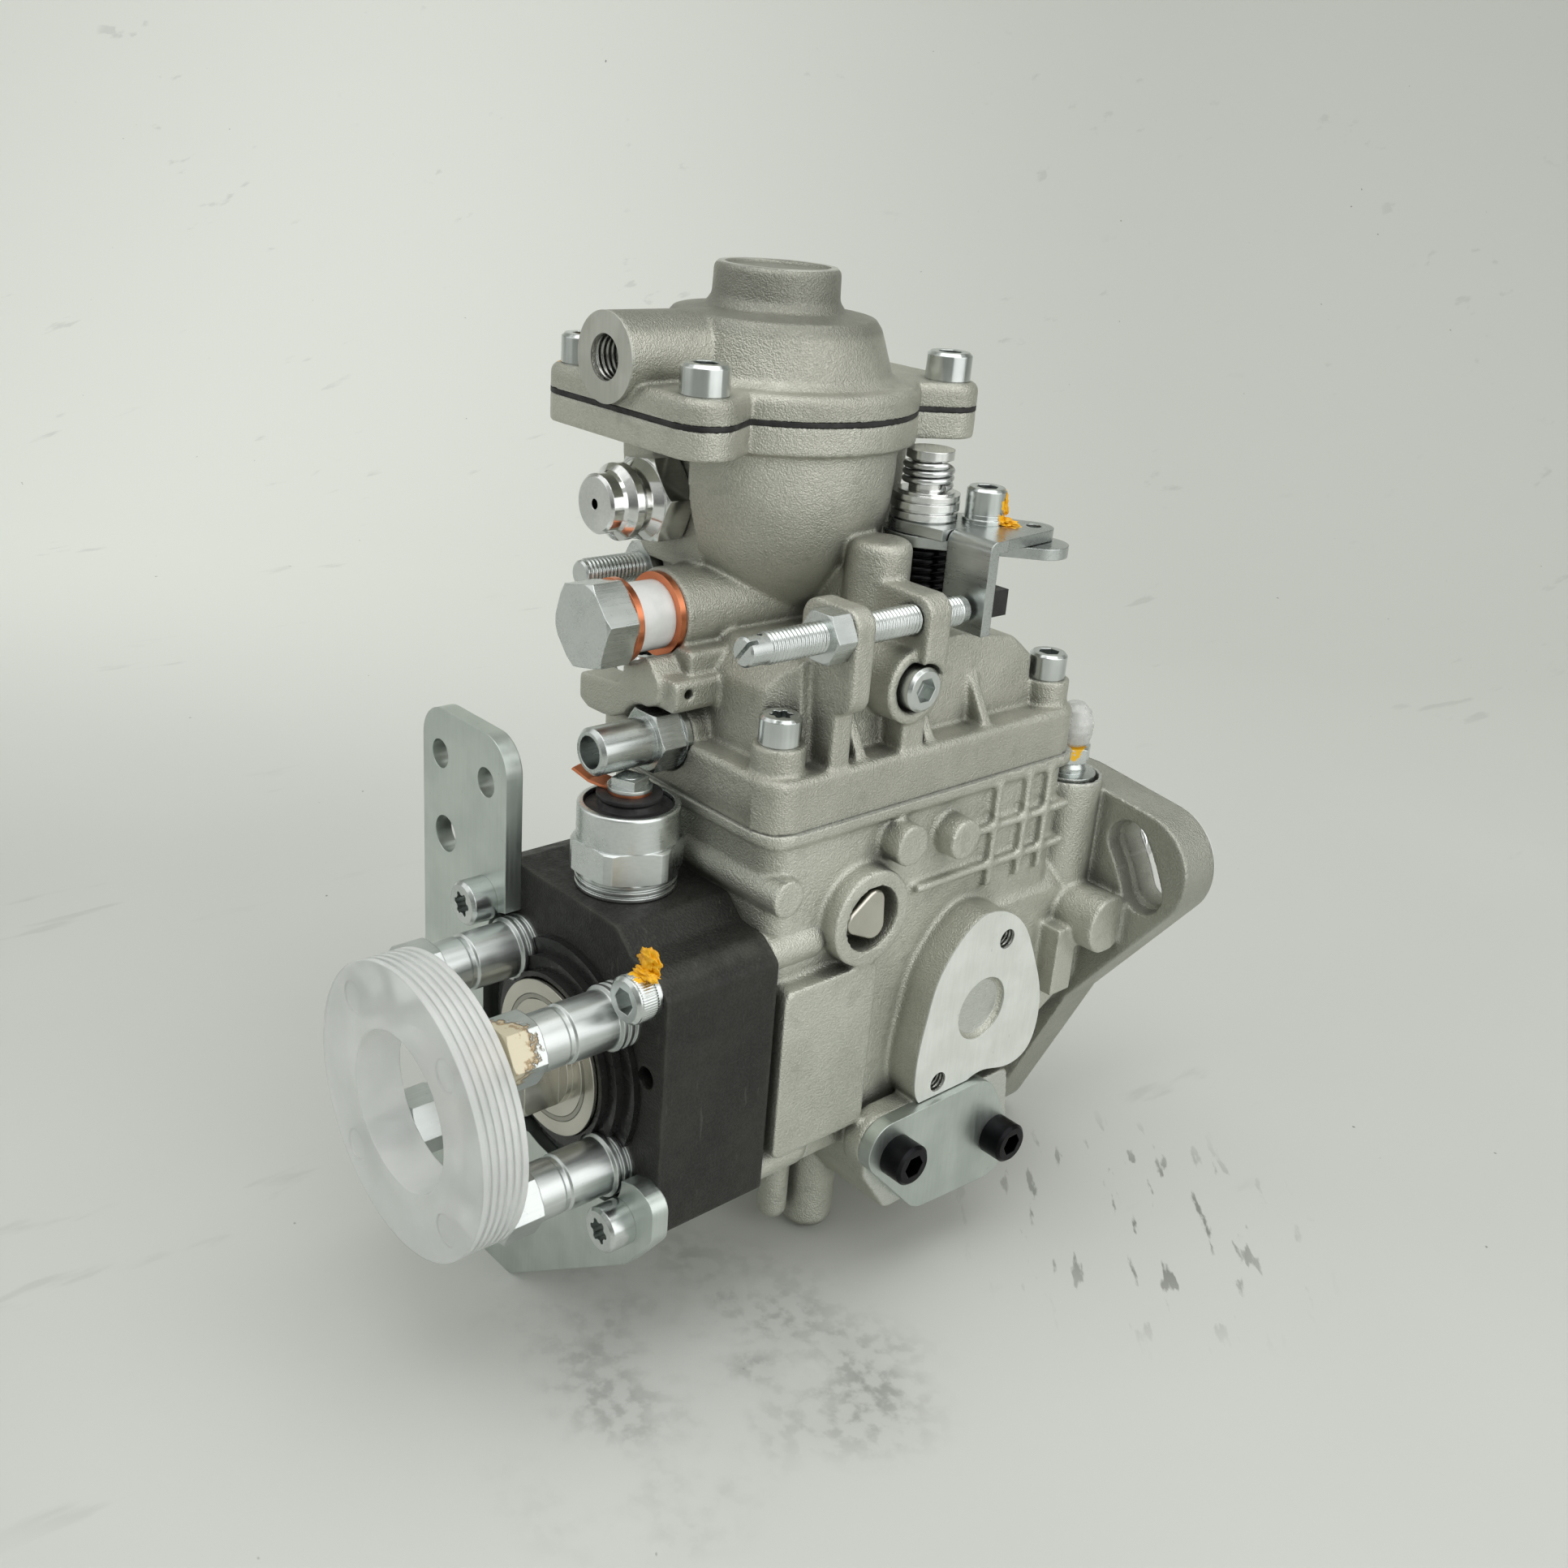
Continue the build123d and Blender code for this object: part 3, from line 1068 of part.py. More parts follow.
def boost_cup():
    """Cup under the diaphragm with its flange, cut back for the lever shaft and the turned fitting."""
    cup = bowl()
    cup += turned("Z", ((CUP_PROFILE[-1][0], CUP_PROFILE[-1][1] - OVERRUN),
                        (RIM_R - OVERRUN, CUP_FLANGE_Z + OVERRUN)),
                  CUP_AXIS)
    cup -= block((CUP_AXIS[0] - RIM_R, FITTING_PAD_X[1]), (CUP_AXIS[1] - RIM_R, FITTING_PAD_Y),
                 (FITTING_PAD_Z[0], CUP_FLANGE_Z))
    cup -= rod("Z", SHAFT_ROOM_R, SHAFT_BOSS_Z, CUP_FLANGE_Z, SHAFT_BOSS_AXIS)
    cup += prism("Z", boost_outline(), CUP_FLANGE_Z, LID_Z - DIAPHRAGM_T / 2)
    pad = block(FITTING_PAD_X, (FITTING_PAD_Y, CUP_AXIS[1]), FITTING_PAD_Z)
    cup += fillet(pad.edges().filter_by(Axis.Y), LUG_CORNER)
    cup += block(FITTING_PAD_X, (FITTING_PAD_Y + PAD_STEP, CUP_AXIS[1]), (LEDGE_Z, FITTING_PAD_Z[1]))
    return cup


def spot_faces():
    """Room in front of every seat on the cover for the heads, washers and nuts."""
    nut_r = LOCK_NUT / math.sqrt(3) + PART_GAP
    hex_r = FITTING_HEX / math.sqrt(3) + PART_GAP
    room = rod("Y", BANJO_WASHER_R + PART_GAP, 0, BANJO_SEAT_Y, BANJO_AXIS)
    room += rod("Y", RETURN_HEX / math.sqrt(3) + PART_GAP, 0, RETURN_SEAT_Y, RETURN_AXIS)
    room += rod("Y", hex_r, FITTING_HEX_Y[0], FITTING_PAD_Y, FITTING_AXIS)
    room += rod("Y", nut_r, FULL_LOAD_SEAT_Y - LOCK_NUT_T - OVERRUN, FULL_LOAD_SEAT_Y, FULL_LOAD_AXIS)
    return room + rod("Y", nut_r, LUG_FRONT_Y[0] - LOCK_NUT_T - OVERRUN, LUG_FRONT_Y[0], STOP_AXIS)


def governor_cover():
    """Cover casting with the boost cup, connections, lugs and screw bosses."""
    cover = cover_base() + cover_roof() + gussets() + boost_cup()
    cover += rod("Y", BANJO_BOSS_R, BANJO_SEAT_Y, CUP_AXIS[1], BANJO_AXIS)
    cover += rod("Y", RETURN_BOSS_R, RETURN_SEAT_Y, CUP_AXIS[1], RETURN_AXIS)
    cover += rod("Y", FULL_LOAD_BOSS_R, FULL_LOAD_SEAT_Y, CUP_AXIS[1], FULL_LOAD_AXIS)
    cover += block((FULL_LOAD_AXIS[0], CUP_AXIS[0]), (FULL_LOAD_SEAT_Y + PAD_STEP, CUP_AXIS[1]),
                   (FULL_LOAD_AXIS[1] - FULL_LOAD_BOSS_R, FULL_LOAD_AXIS[1] + FULL_LOAD_BOSS_R))
    cover += rod("Z", SHAFT_BOSS_R, LEDGE_Z, SHAFT_BOSS_Z, SHAFT_BOSS_AXIS)
    stub = rod("Z", SIDE_STUB_R, LEDGE_Z, SIDE_STUB_Z, SIDE_STUB_AXIS)
    cover += fillet(stub.edges().group_by(Axis.Z)[-1], LID_ROUND)
    cover += block((CUP_AXIS[0], SIDE_STUB_AXIS[0]), SIDE_WEB_Y, (LEDGE_Z, SIDE_WEB_Z))
    cover += rod("X", SIDE_BOSS_R, 0, SIDE_BOSS_X, SIDE_BOSS_AXIS)
    cover += stop_screw_lugs() + front_block()
    screws = COVER_SCREWS_FRONT + COVER_SCREWS_REAR
    for spot in screws:
        cover += rod("Z", SCREW_BOSS_R, JOINT_Z, SCREW_SEAT_Z, spot)
        cover -= rod("Z", SCREW_POCKET_R, SCREW_SEAT_Z, CUP_PROFILE[1][1], spot)
    cover -= block((-ROOF_CAVITY_X, ROOF_CAVITY_X), ROOF_CAVITY_Y, (JOINT_Z - OVERRUN, ROOF_CAVITY_Z))
    for spot in screws:
        cover -= rod("Z", COVER_SCREW_SHANK_R, JOINT_Z - OVERRUN, SCREW_SEAT_Z + OVERRUN, spot)
    cover -= rod("Z", CUP_CAVITY_R, CUP_CAVITY_Z, LID_Z, CUP_AXIS)
    cover -= rod("Z", PIN_R + RUN_CLEAR, CUP_STEM_Z, CUP_CAVITY_Z + OVERRUN, CUP_AXIS)
    cover -= rod("Z", THROTTLE_SHAFT_R + RUN_CLEAR, LEDGE_Z, SHAFT_BOSS_Z + OVERRUN, SHAFT_BOSS_AXIS)
    cover -= rod("X", SIDE_POCKET_R, SIDE_POCKET_X, LUG_X[1] + OVERRUN, SIDE_BOSS_AXIS)
    cover -= spot_faces()
    cover -= rod("Y", BANJO_SHANK_R, BANJO_SEAT_Y - OVERRUN, BANJO_SHANK_END_Y + OVERRUN, BANJO_AXIS)
    cover -= rod("Y", RETURN_SHANK_R, RETURN_SEAT_Y - OVERRUN, RETURN_SHANK_END_Y + OVERRUN, RETURN_AXIS)
    cover -= rod("Y", FITTING_SHANK_R, FITTING_PAD_Y - OVERRUN, FITTING_SHANK_END_Y + OVERRUN, FITTING_AXIS)
    cover -= rod("Y", STOP_SCREW_R, FULL_LOAD_TIP_Y, FULL_LOAD_END_Y + OVERRUN, FULL_LOAD_AXIS)
    cover -= rod("Y", STOP_SCREW_R, *STOP_SCREW_Y, STOP_AXIS)
    for spot in LID_SCREWS:
        cover -= rod("Z", LID_SCREW_SHANK_R, CUP_FLANGE_Z - OVERRUN, LID_Z + OVERRUN, spot)
    return cover


def boost_lid():
    """Domed lid with a hub and a threaded pressure port."""
    low = LID_Z + DIAPHRAGM_T / 2
    plate = prism("Z", boost_outline(), low, LID_Z + LID_FLANGE_T)
    lid = fillet(plate.edges().group_by(Axis.Z)[-1], LID_ROUND)
    lid += turned("Z", LID_DOME, CUP_AXIS)
    lid += rod("Y", PORT_R, PORT_FACE_Y, PORT_INNER_Y, PORT_AXIS)
    lid -= turned("Z", LID_CAVITY, CUP_AXIS)
    lid -= rod("Y", PORT_THREAD_R, PORT_FACE_Y - OVERRUN, PORT_FACE_Y + PORT_DEPTH, PORT_AXIS)
    lid -= rod("Y", PORT_DRILL_R, PORT_FACE_Y, CUP_AXIS[1] - LID_CAVITY[2][0] + OVERRUN, PORT_AXIS)
    for spot in LID_SCREWS:
        lid -= rod("Z", LID_SCREW_SHANK_R, LID_Z - OVERRUN, LID_Z + LID_FLANGE_T + OVERRUN, spot)
        lid -= rod("Z", LID_SCREW_HEAD_R + PART_GAP, LID_Z + LID_FLANGE_T, LID_DOME[-1][1], spot)
    return lid


def diaphragm():
    """Rubber sheet clamped between the cup and the lid."""
    sheet = prism("Z", boost_outline(), LID_Z - DIAPHRAGM_T / 2, LID_Z + DIAPHRAGM_T / 2)
    sheet -= rod("Z", PIN_NECK_R, LID_Z - OVERRUN, LID_Z + OVERRUN, CUP_AXIS)
    for spot in LID_SCREWS:
        sheet -= rod("Z", LID_SCREW_SHANK_R, LID_Z - OVERRUN, LID_Z + OVERRUN, spot)
    return sheet


def boost_pin():
    """Pin with a control cone and the two discs that carry the diaphragm."""
    low = PIN_LOW_Z
    under = LID_Z - DIAPHRAGM_T / 2 - DISC_T
    profile = ((PIN_R, low), (PIN_CONE_R, low + PIN_CONE_LENGTH), (PIN_R, low + 2 * PIN_CONE_LENGTH),
               (PIN_R, under),
               (DISC_R, under), (DISC_R, under + DISC_T), (PIN_NECK_R, under + DISC_T),
               (PIN_NECK_R, under + DISC_T + DIAPHRAGM_T), (DISC_R, under + DISC_T + DIAPHRAGM_T),
               (DISC_R, under + 2 * DISC_T + DIAPHRAGM_T))
    return turned("Z", profile, CUP_AXIS)


# Connections on the front of the cover

def banjo_bolt():
    """Hollow inlet bolt with a hexagon head."""
    bolt = hex_nut("Y", BANJO_HEX, *BANJO_HEAD_Y, BANJO_AXIS, BANJO_TURN)
    bolt += rod("Y", BANJO_SHANK_R - RUN_CLEAR, BANJO_HEAD_Y[1], BANJO_SHANK_END_Y, BANJO_AXIS)
    return bolt


def banjo_washers():
    """Copper washers on both sides of the sleeve."""
    near = ring("Y", BANJO_WASHER_R, WASHER_BORE_R, BANJO_HEAD_Y[1], BANJO_HEAD_Y[1] + BANJO_WASHER_T,
                BANJO_AXIS)
    far = ring("Y", BANJO_WASHER_R, WASHER_BORE_R, BANJO_SEAT_Y - BANJO_WASHER_T, BANJO_SEAT_Y, BANJO_AXIS)
    return [near, far]


def banjo_sleeve():
    """White plastic sleeve that stands in for the inlet eye during transport."""
    return ring("Y", SLEEVE_R, WASHER_BORE_R, BANJO_HEAD_Y[1] + BANJO_WASHER_T, BANJO_SEAT_Y - BANJO_WASHER_T,
                BANJO_AXIS)


def return_fitting():
    """Overflow fitting with a hollow spout."""
    profile = ((RETURN_SLEEVE_R - RETURN_EDGE, RETURN_TIP_Y), (RETURN_SLEEVE_R, RETURN_TIP_Y + RETURN_EDGE),
               (RETURN_SLEEVE_R, RETURN_SLEEVE_END_Y))
    fitting = turned("Y", profile, RETURN_AXIS)
    fitting += hex_nut("Y", RETURN_HEX, RETURN_SLEEVE_END_Y, RETURN_HEX_END_Y, RETURN_AXIS)
    fitting += rod("Y", RETURN_WASHER_R, RETURN_HEX_END_Y, RETURN_SEAT_Y, RETURN_AXIS)
    fitting += rod("Y", RETURN_SHANK_R - RUN_CLEAR, RETURN_SEAT_Y, RETURN_SHANK_END_Y, RETURN_AXIS)
    fitting -= rod("Y", RETURN_BORE_R, RETURN_TIP_Y - OVERRUN, RETURN_BORE_END_Y, RETURN_AXIS)
    return fitting


def boost_fitting():
    """Turned fitting with stepped collars and a hexagon."""
    fitting = turned("Y", FITTING_PROFILE, FITTING_AXIS)
    fitting += hex_nut("Y", FITTING_HEX, *FITTING_HEX_Y, FITTING_AXIS, FITTING_TURN)
    fitting += rod("Y", FITTING_SHANK_R - RUN_CLEAR, FITTING_HEX_Y[1], FITTING_SHANK_END_Y, FITTING_AXIS)
    fitting -= rod("Y", FITTING_BORE_R, FITTING_PROFILE[0][1] - OVERRUN,
                   FITTING_PROFILE[0][1] + FITTING_BORE_DEPTH,
                   FITTING_AXIS)
    return fitting


def pointed_screw(radius, span, spot):
    """Headless adjusting screw with bevelled ends."""
    start, end = span
    bevel = radius * EDGE_SHARE
    profile = ((radius - bevel, start), (radius, start + bevel), (radius, end - bevel), (radius - bevel, end))
    return turned("Y", profile, spot)


def full_load_screw():
    """Threaded screw that sets the full load quantity."""
    return pointed_screw(STOP_SCREW_R - RUN_CLEAR, (FULL_LOAD_TIP_Y, FULL_LOAD_END_Y), FULL_LOAD_AXIS)


def stop_screw():
    """Throttle stop screw with a slot and a cross hole for a seal wire."""
    screw = pointed_screw(STOP_SCREW_R - RUN_CLEAR, STOP_SCREW_Y, STOP_AXIS)
    half = STOP_SLOT_W / 2
    slot = block((-STOP_SCREW_R, STOP_SCREW_R),
                 (STOP_SCREW_Y[0] - OVERRUN, STOP_SCREW_Y[0] + STOP_SLOT_DEPTH),
                 (-half, half))
    screw -= Pos(STOP_AXIS[0], 0, STOP_AXIS[1]) * Rot(0, STOP_SLOT_TURN, 0) * slot
    return screw - rod("Z", STOP_CROSS_HOLE_R, STOP_AXIS[1] - STOP_SCREW_R, STOP_AXIS[1] + STOP_SCREW_R,
                       (STOP_AXIS[0], STOP_CROSS_HOLE_Y))


def lock_nut(seat, spot):
    """Hexagon lock nut that bears on its seat."""
    nut = hex_nut("Y", LOCK_NUT, seat - LOCK_NUT_T, seat, spot)
    return nut - rod("Y", STOP_SCREW_R, seat - LOCK_NUT_T - OVERRUN, seat + OVERRUN, spot)


def side_plug():
    """Three lobed closing bolt sunk in the large ring boss."""
    plug = rod("X", SIDE_PLUG_SHANK_R - RUN_CLEAR, CHAMBER_X + SIDE_PLUG_FLOOR, PLUG_POCKET_X, PLUG_AXIS)
    lobes = []
    for spot in polar_spots(SIDE_PLUG_LOBES, SIDE_PLUG_LOBE_OFFSET, SIDE_PLUG_TURN):
        lobes += (Pos(*spot) * Circle(SIDE_PLUG_LOBE_R)).edges()
    head = prism("X", make_hull(lobes), PLUG_POCKET_X + SIDE_PLUG_COLLAR, SIDE_PLUG_X, PLUG_AXIS)
    head = fillet(head.edges().group_by(Axis.X)[-1], SIDE_PLUG_ROUND)
    return plug + head + rod("X", SIDE_PLUG_COLLAR_R, PLUG_POCKET_X, PLUG_POCKET_X + SIDE_PLUG_COLLAR,
                             PLUG_AXIS)


# Throttle levers

def throttle_shaft():
    """Vertical shaft with its stepped spring seat and a head that holds the top spring."""
    low, high = THROTTLE_SHAFT_Z
    shaft = rod("Z", THROTTLE_SHAFT_R, low, high, SHAFT_BOSS_AXIS)
    shaft += rod("Z", SHAFT_HEAD_R, high - SHAFT_HEAD_T, high, SHAFT_BOSS_AXIS)
    step = BENT_PLATE_Z + LEVER_T
    for radius, height in SEAT_STACK:
        shaft += rod("Z", radius, step, step + height, SHAFT_BOSS_AXIS)
        step += height
    return shaft


def bent_lever():
    """Throttle lever plate with a tab bent down in front of the stop screw."""
    low, high = BENT_PLATE_Z, BENT_PLATE_Z + LEVER_T
    plate = prism("Z", hull_of(BENT_PLATE_ENDS), low, high)
    plate -= block((TAB_X[0] - PART_GAP, TAB_X[1] + OVERRUN), (0, TAB_ROOT_Y),
                   (low - OVERRUN, high + OVERRUN))
    front, back = TAB_Y
    points = ((front, TAB_LOW_Z), (back, TAB_LOW_Z), (back, low), (TAB_ROOT_Y, low), (TAB_ROOT_Y, high),
              (front, high))
    side = outline(points)
    side = fillet(side.vertices().group_by(Axis.Y)[-1].sort_by(Axis.X)[0], BEND_R)
    plate += prism("X", side, *TAB_X)
    plate -= rod("Z", THROTTLE_SHAFT_R, BENT_PLATE_Z - OVERRUN, BENT_PLATE_Z + LEVER_T + OVERRUN,
                 SHAFT_BOSS_AXIS)
    plate -= rod("Z", LEVER_HOLE_R, BENT_PLATE_Z - OVERRUN, BENT_PLATE_Z + LEVER_T + OVERRUN, LEVER_HOLE)
    return plate - rod("Z", CLAMP_SHANK_R, BENT_PLATE_Z - OVERRUN, BENT_PLATE_Z + LEVER_T + OVERRUN,
                       CLAMP_AXIS)


def lower_lever():
    """Second lever plate under the bent one."""
    ends = ((*SHAFT_BOSS_AXIS, LOWER_LEVER_ROOT_R), (*LOWER_LEVER_TIP, LOWER_LEVER_R))
    plate = prism("Z", hull_of(ends), LOWER_LEVER_Z, LOWER_LEVER_Z + LEVER_T)
    plate -= rod("Z", THROTTLE_SHAFT_R, LOWER_LEVER_Z - OVERRUN, LOWER_LEVER_Z + LEVER_T + OVERRUN,
                 SHAFT_BOSS_AXIS)
    plate -= rod("Z", CLAMP_SHANK_R, LOWER_LEVER_Z - OVERRUN, LOWER_LEVER_Z + LEVER_T + OVERRUN, CLAMP_AXIS)
    return plate - block(TAB_X, TAB_Y, (TAB_LOW_Z, BENT_PLATE_Z))


def clamp_screw():
    """Screw that clamps the two throttle lever plates."""
    seat = BENT_PLATE_Z + LEVER_T + 2 * CLAMP_WASHER_T
    return cap_screw("Z", seat, 1, CLAMP_AXIS, CLAMP_HEAD_R, CLAMP_HEAD, CLAMP_SHANK_R, seat - LOWER_LEVER_Z)


def clamp_washers():
    """Flat washer and spring washer under the clamp screw."""
    low = BENT_PLATE_Z + LEVER_T
    flat = ring("Z", CLAMP_WASHER_R, CLAMP_SHANK_R, low, low + CLAMP_WASHER_T, CLAMP_AXIS)
    spring = ring("Z", CLAMP_HEAD_R, CLAMP_SHANK_R, low + CLAMP_WASHER_T, low + 2 * CLAMP_WASHER_T,
                  CLAMP_AXIS)
    return [flat, spring]


def stop_bumper():
    """Black plastic stop on the rear of the tab."""
    return block(BUMPER_X, (TAB_Y[1], TAB_Y[1] + BUMPER_LENGTH), BUMPER_Z)


# Drive train

def drive_shaft():
    """Drive shaft with a keyed taper, a thread and two driving tongues."""
    profile = ((SHAFT_FRONT_R, SHAFT_START_Y), (SHAFT_FRONT_R, GEAR_Y[0]), (SHAFT_R, GEAR_Y[0]),
               (SHAFT_R, TAPER_Y[0]),
               (TAPER_SMALL_R, TAPER_Y[1]), (THREAD_R, TAPER_Y[1]), (THREAD_R, SHAFT_END_Y))
    shaft = turned("Y", profile, (0, 0))
    tongue = block((-TONGUE_W / 2, TONGUE_W / 2), (TONGUE_Y, SHAFT_START_Y + OVERRUN),
                   (-SHAFT_FRONT_R, SHAFT_FRONT_R))
    tongue -= rod("Y", TONGUE_R, TONGUE_Y - OVERRUN, SHAFT_START_Y - OVERRUN, (0, 0))
    shaft += tongue & rod("Y", SHAFT_FRONT_R, TONGUE_Y, SHAFT_START_Y + OVERRUN, (0, 0))
    return shaft - block((-KEY_W / 2, KEY_W / 2), KEY_Y, (KEY_BED, KEY_TOP))


def shaft_key():
    """Flat key in the taper."""
    return block((-KEY_W / 2, KEY_W / 2), KEY_Y, (KEY_BED, KEY_TOP))


def toothed_disc(radius, teeth, bore, span, spot, turn=0.0):
    """Disc with straight tapered teeth."""
    pitch = math.radians(360 / teeth)
    root = radius - TOOTH_DEPTH
    points = []
    for i in range(teeth):
        base = i * pitch + math.radians(turn)
        for angle, reach in ((-TOOTH_ROOT_SHARE, root), (-TOOTH_TIP_SHARE, radius), (TOOTH_TIP_SHARE, radius),
                             (TOOTH_ROOT_SHARE, root)):
            points.append((reach * math.cos(base + angle * pitch), reach * math.sin(base + angle * pitch)))
    disc = prism("Y", make_face(Polyline(*points, close=True)), *span, spot)
    return disc - rod("Y", bore, span[0] - OVERRUN, span[1] + OVERRUN, spot)


def vane_rotor():
    """Rotor of the vane pump, slotted for its vanes."""
    rotor = ring("Y", ROTOR_R, SHAFT_R, *ROTOR_Y, (0, 0))
    for i in range(VANE_COUNT):
        rotor -= vane_block(i, VANE_T / 2, ROTOR_R + OVERRUN)
    return rotor


def vane_block(index, half, tip):
    """One vane, or the slot for it, at its place round the rotor."""
    vane = block((VANE_ROOT_R, tip), ROTOR_Y, (-half, half))
    return Rot(0, 360 / VANE_COUNT * index, 0) * vane


def vane_pump_ring():
    """Ring that the vanes sweep, closed by a plate towards the governor drive."""
    sweep_ring = ring("Y", BORE_R, PUMP_RING_BORE, COVER_PLATE_Y[1], ROTOR_Y[1], (0, 0))
    return sweep_ring + ring("Y", BORE_R, COVER_PLATE_BORE_R, *COVER_PLATE_Y, (0, 0))


def roller_ring():
    """Ring that carries the cam rollers and the timing pin."""
    body = ring("Y", ROLLER_RING_R, ROLLER_RING_BORE, *ROLLER_RING_Y, (0, 0))
    for i in range(ROLLER_COUNT):
        body -= roller(i, ROLLER_R + RUN_CLEAR, PART_GAP)
    body += rod("Z", TIMING_PIN_R, -TIMING_PIN_TIP_R, -TIMING_PIN_ROOT_R, (0, TIMING_AXIS[0]))
    return body


def roller(index, radius, spare=0.0):
    """One cam roller, lying along a radius."""
    bar = rod("X", radius, ROLLER_SPAN[0] - spare, ROLLER_SPAN[1] + spare, (ROLLER_AXIS_Y, 0))
    return Rot(0, 360 / ROLLER_COUNT * index + ROLLER_START_DEG, 0) * bar


def cam_plate():
    """Face cam with four lobes, driven by the shaft tongues."""
    cam = rod("Y", CAM_DISC_R, *CAM_DISC_Y, (0, 0))
    for i in range(ROLLER_COUNT):
        lobe = block((CAM_LOBE_INNER_R, CAM_DISC_R - OVERRUN), (CAM_DISC_Y[1], CAM_DISC_Y[1] + CAM_LOBE_H),
                     (-CAM_LOBE_W / 2, CAM_LOBE_W / 2))
        cam += Rot(0, 360 / ROLLER_COUNT * i, 0) * lobe
    slot_half = TONGUE_W / 2 + SLIDE_CLEAR
    cam -= block((-slot_half, slot_half), (CAM_DISC_Y[0] - OVERRUN, CAM_DISC_Y[1] + OVERRUN),
                 (-SHAFT_FRONT_R - PART_GAP, SHAFT_FRONT_R + PART_GAP)) - rod(
        "Y", TONGUE_R - PART_GAP, CAM_DISC_Y[0] - OVERRUN, CAM_DISC_Y[1] + OVERRUN, (0, 0))
    return cam


def plunger():
    """Distributor plunger with its foot."""
    body = rod("Y", PLUNGER_R, *PLUNGER_Y, (0, 0))
    body += rod("Y", PLUNGER_FOOT_R, PLUNGER_Y[1], CAM_DISC_Y[0], (0, 0))
    return body - block((-CROSS_SLOT_W / 2, CROSS_SLOT_W / 2),
                        (TONGUE_Y - CROSS_SLOT_DEPTH, CAM_DISC_Y[0] + OVERRUN),
                        (-PLUNGER_FOOT_R, PLUNGER_FOOT_R))


def control_spool():
    """Spill ring round the plunger, with a groove for the governor lever."""
    spool = ring("Y", SPOOL_R, PLUNGER_R + SLIDE_CLEAR, *SPOOL_Y, (0, 0))
    middle = middle_of(*SPOOL_Y)
    half = SPOOL_GROOVE_W / 2
    groove = rod("Y", SPOOL_R + OVERRUN, middle - half, middle + half, (0, 0)) - rod(
        "Y", SPOOL_GROOVE_R, middle - half - OVERRUN, middle + half + OVERRUN, (0, 0))
    return spool - groove


def governor_lever():
    """Lever between the sliding sleeve and the spill ring, with its two trunnions."""
    half = LEVER_PLATE_T / 2
    plate = prism("Y", make_face(Polyline(*LEVER_OUTLINE, close=True)), LEVER_AXIS[0] - half,
                  LEVER_AXIS[0] + half)
    plate += rod("X", LEVER_HUB_R, LEVER_HUB_X[0], LEVER_HUB_X[1], LEVER_AXIS)
    reach = CHAMBER_X + LEVER_PIN_SEAT - PART_GAP
    return plate + rod("X", LEVER_PIN_R, -reach, reach, LEVER_AXIS)


def flyweight_cage():
    """Driven gear with the cage that carries the flyweights."""
    bore = GOVERNOR_SHAFT_R + RUN_CLEAR
    cage = toothed_disc(DRIVEN_GEAR_R, DRIVEN_TEETH, bore, GEAR_Y, GOVERNOR_AXIS)
    cage += ring("Y", CAGE_HUB_R, bore, CAGE_Y[0], GEAR_Y[0], GOVERNOR_AXIS)
    cage += ring("Y", CAGE_R, bore, CAGE_Y[1] - CAGE_DISC_T, CAGE_Y[1], GOVERNOR_AXIS)
    return cage


def flyweights():
    """Four governor weights round the hub."""
    weights = []
    for i in range(WEIGHT_COUNT):
        bar = block((WEIGHT_IN_R, WEIGHT_OUT_R), (CAGE_Y[0], CAGE_Y[1] - CAGE_DISC_T),
                    (-WEIGHT_W / 2, WEIGHT_W / 2))
        bar = fillet(bar.edges().filter_by(Axis.Y).group_by(Axis.X)[-1], WEIGHT_ROUND)
        weights.append(Pos(GOVERNOR_AXIS[0], 0, GOVERNOR_AXIS[1]) * Rot(0, 360 / WEIGHT_COUNT * i, 0) * bar)
    return weights


def governor_sleeve():
    """Sliding sleeve pushed by the flyweights."""
    sleeve = turned("Y", SLEEVE_PROFILE, GOVERNOR_AXIS)
    return sleeve - rod("Y", GOVERNOR_SHAFT_R + SLIDE_CLEAR, SLEEVE_BORE_Y, SLEEVE_PROFILE[-1][1] + OVERRUN,
                        GOVERNOR_AXIS)


def timing_piston():
    """Timing piston with a cross socket for the pin of the roller ring."""
    piston = rod("X", PISTON_R, -PISTON_HALF, PISTON_HALF, TIMING_AXIS)
    return piston - rod("Z", PISTON_SOCKET_R, PISTON_SOCKET_Z, TIMING_AXIS[1] + PISTON_R + OVERRUN,
                        (0, TIMING_AXIS[0]))


def timing_cover(side):
    """Lozenge cover plate on one end of the timing bore."""
    start, end = sorted((side * TIMING_HALF, side * (TIMING_HALF + TIMING_PLATE_T)))
    plate = prism("X", hull_of(TIMING_PAD), start, end)
    for spot in TIMING_SCREWS:
        plate -= rod("X", TIMING_SCREW_SHANK_R, start - OVERRUN, end + OVERRUN, spot)
    return plate


def timing_screw(side, spot):
    """Screw of a timing cover."""
    return cap_screw("X", side * (TIMING_HALF + TIMING_PLATE_T), side, spot, TIMING_SCREW_R,
                     TIMING_SCREW_HEAD,
                     TIMING_SCREW_SHANK_R, TIMING_SCREW_SHANK + TIMING_PLATE_T - OVERRUN)


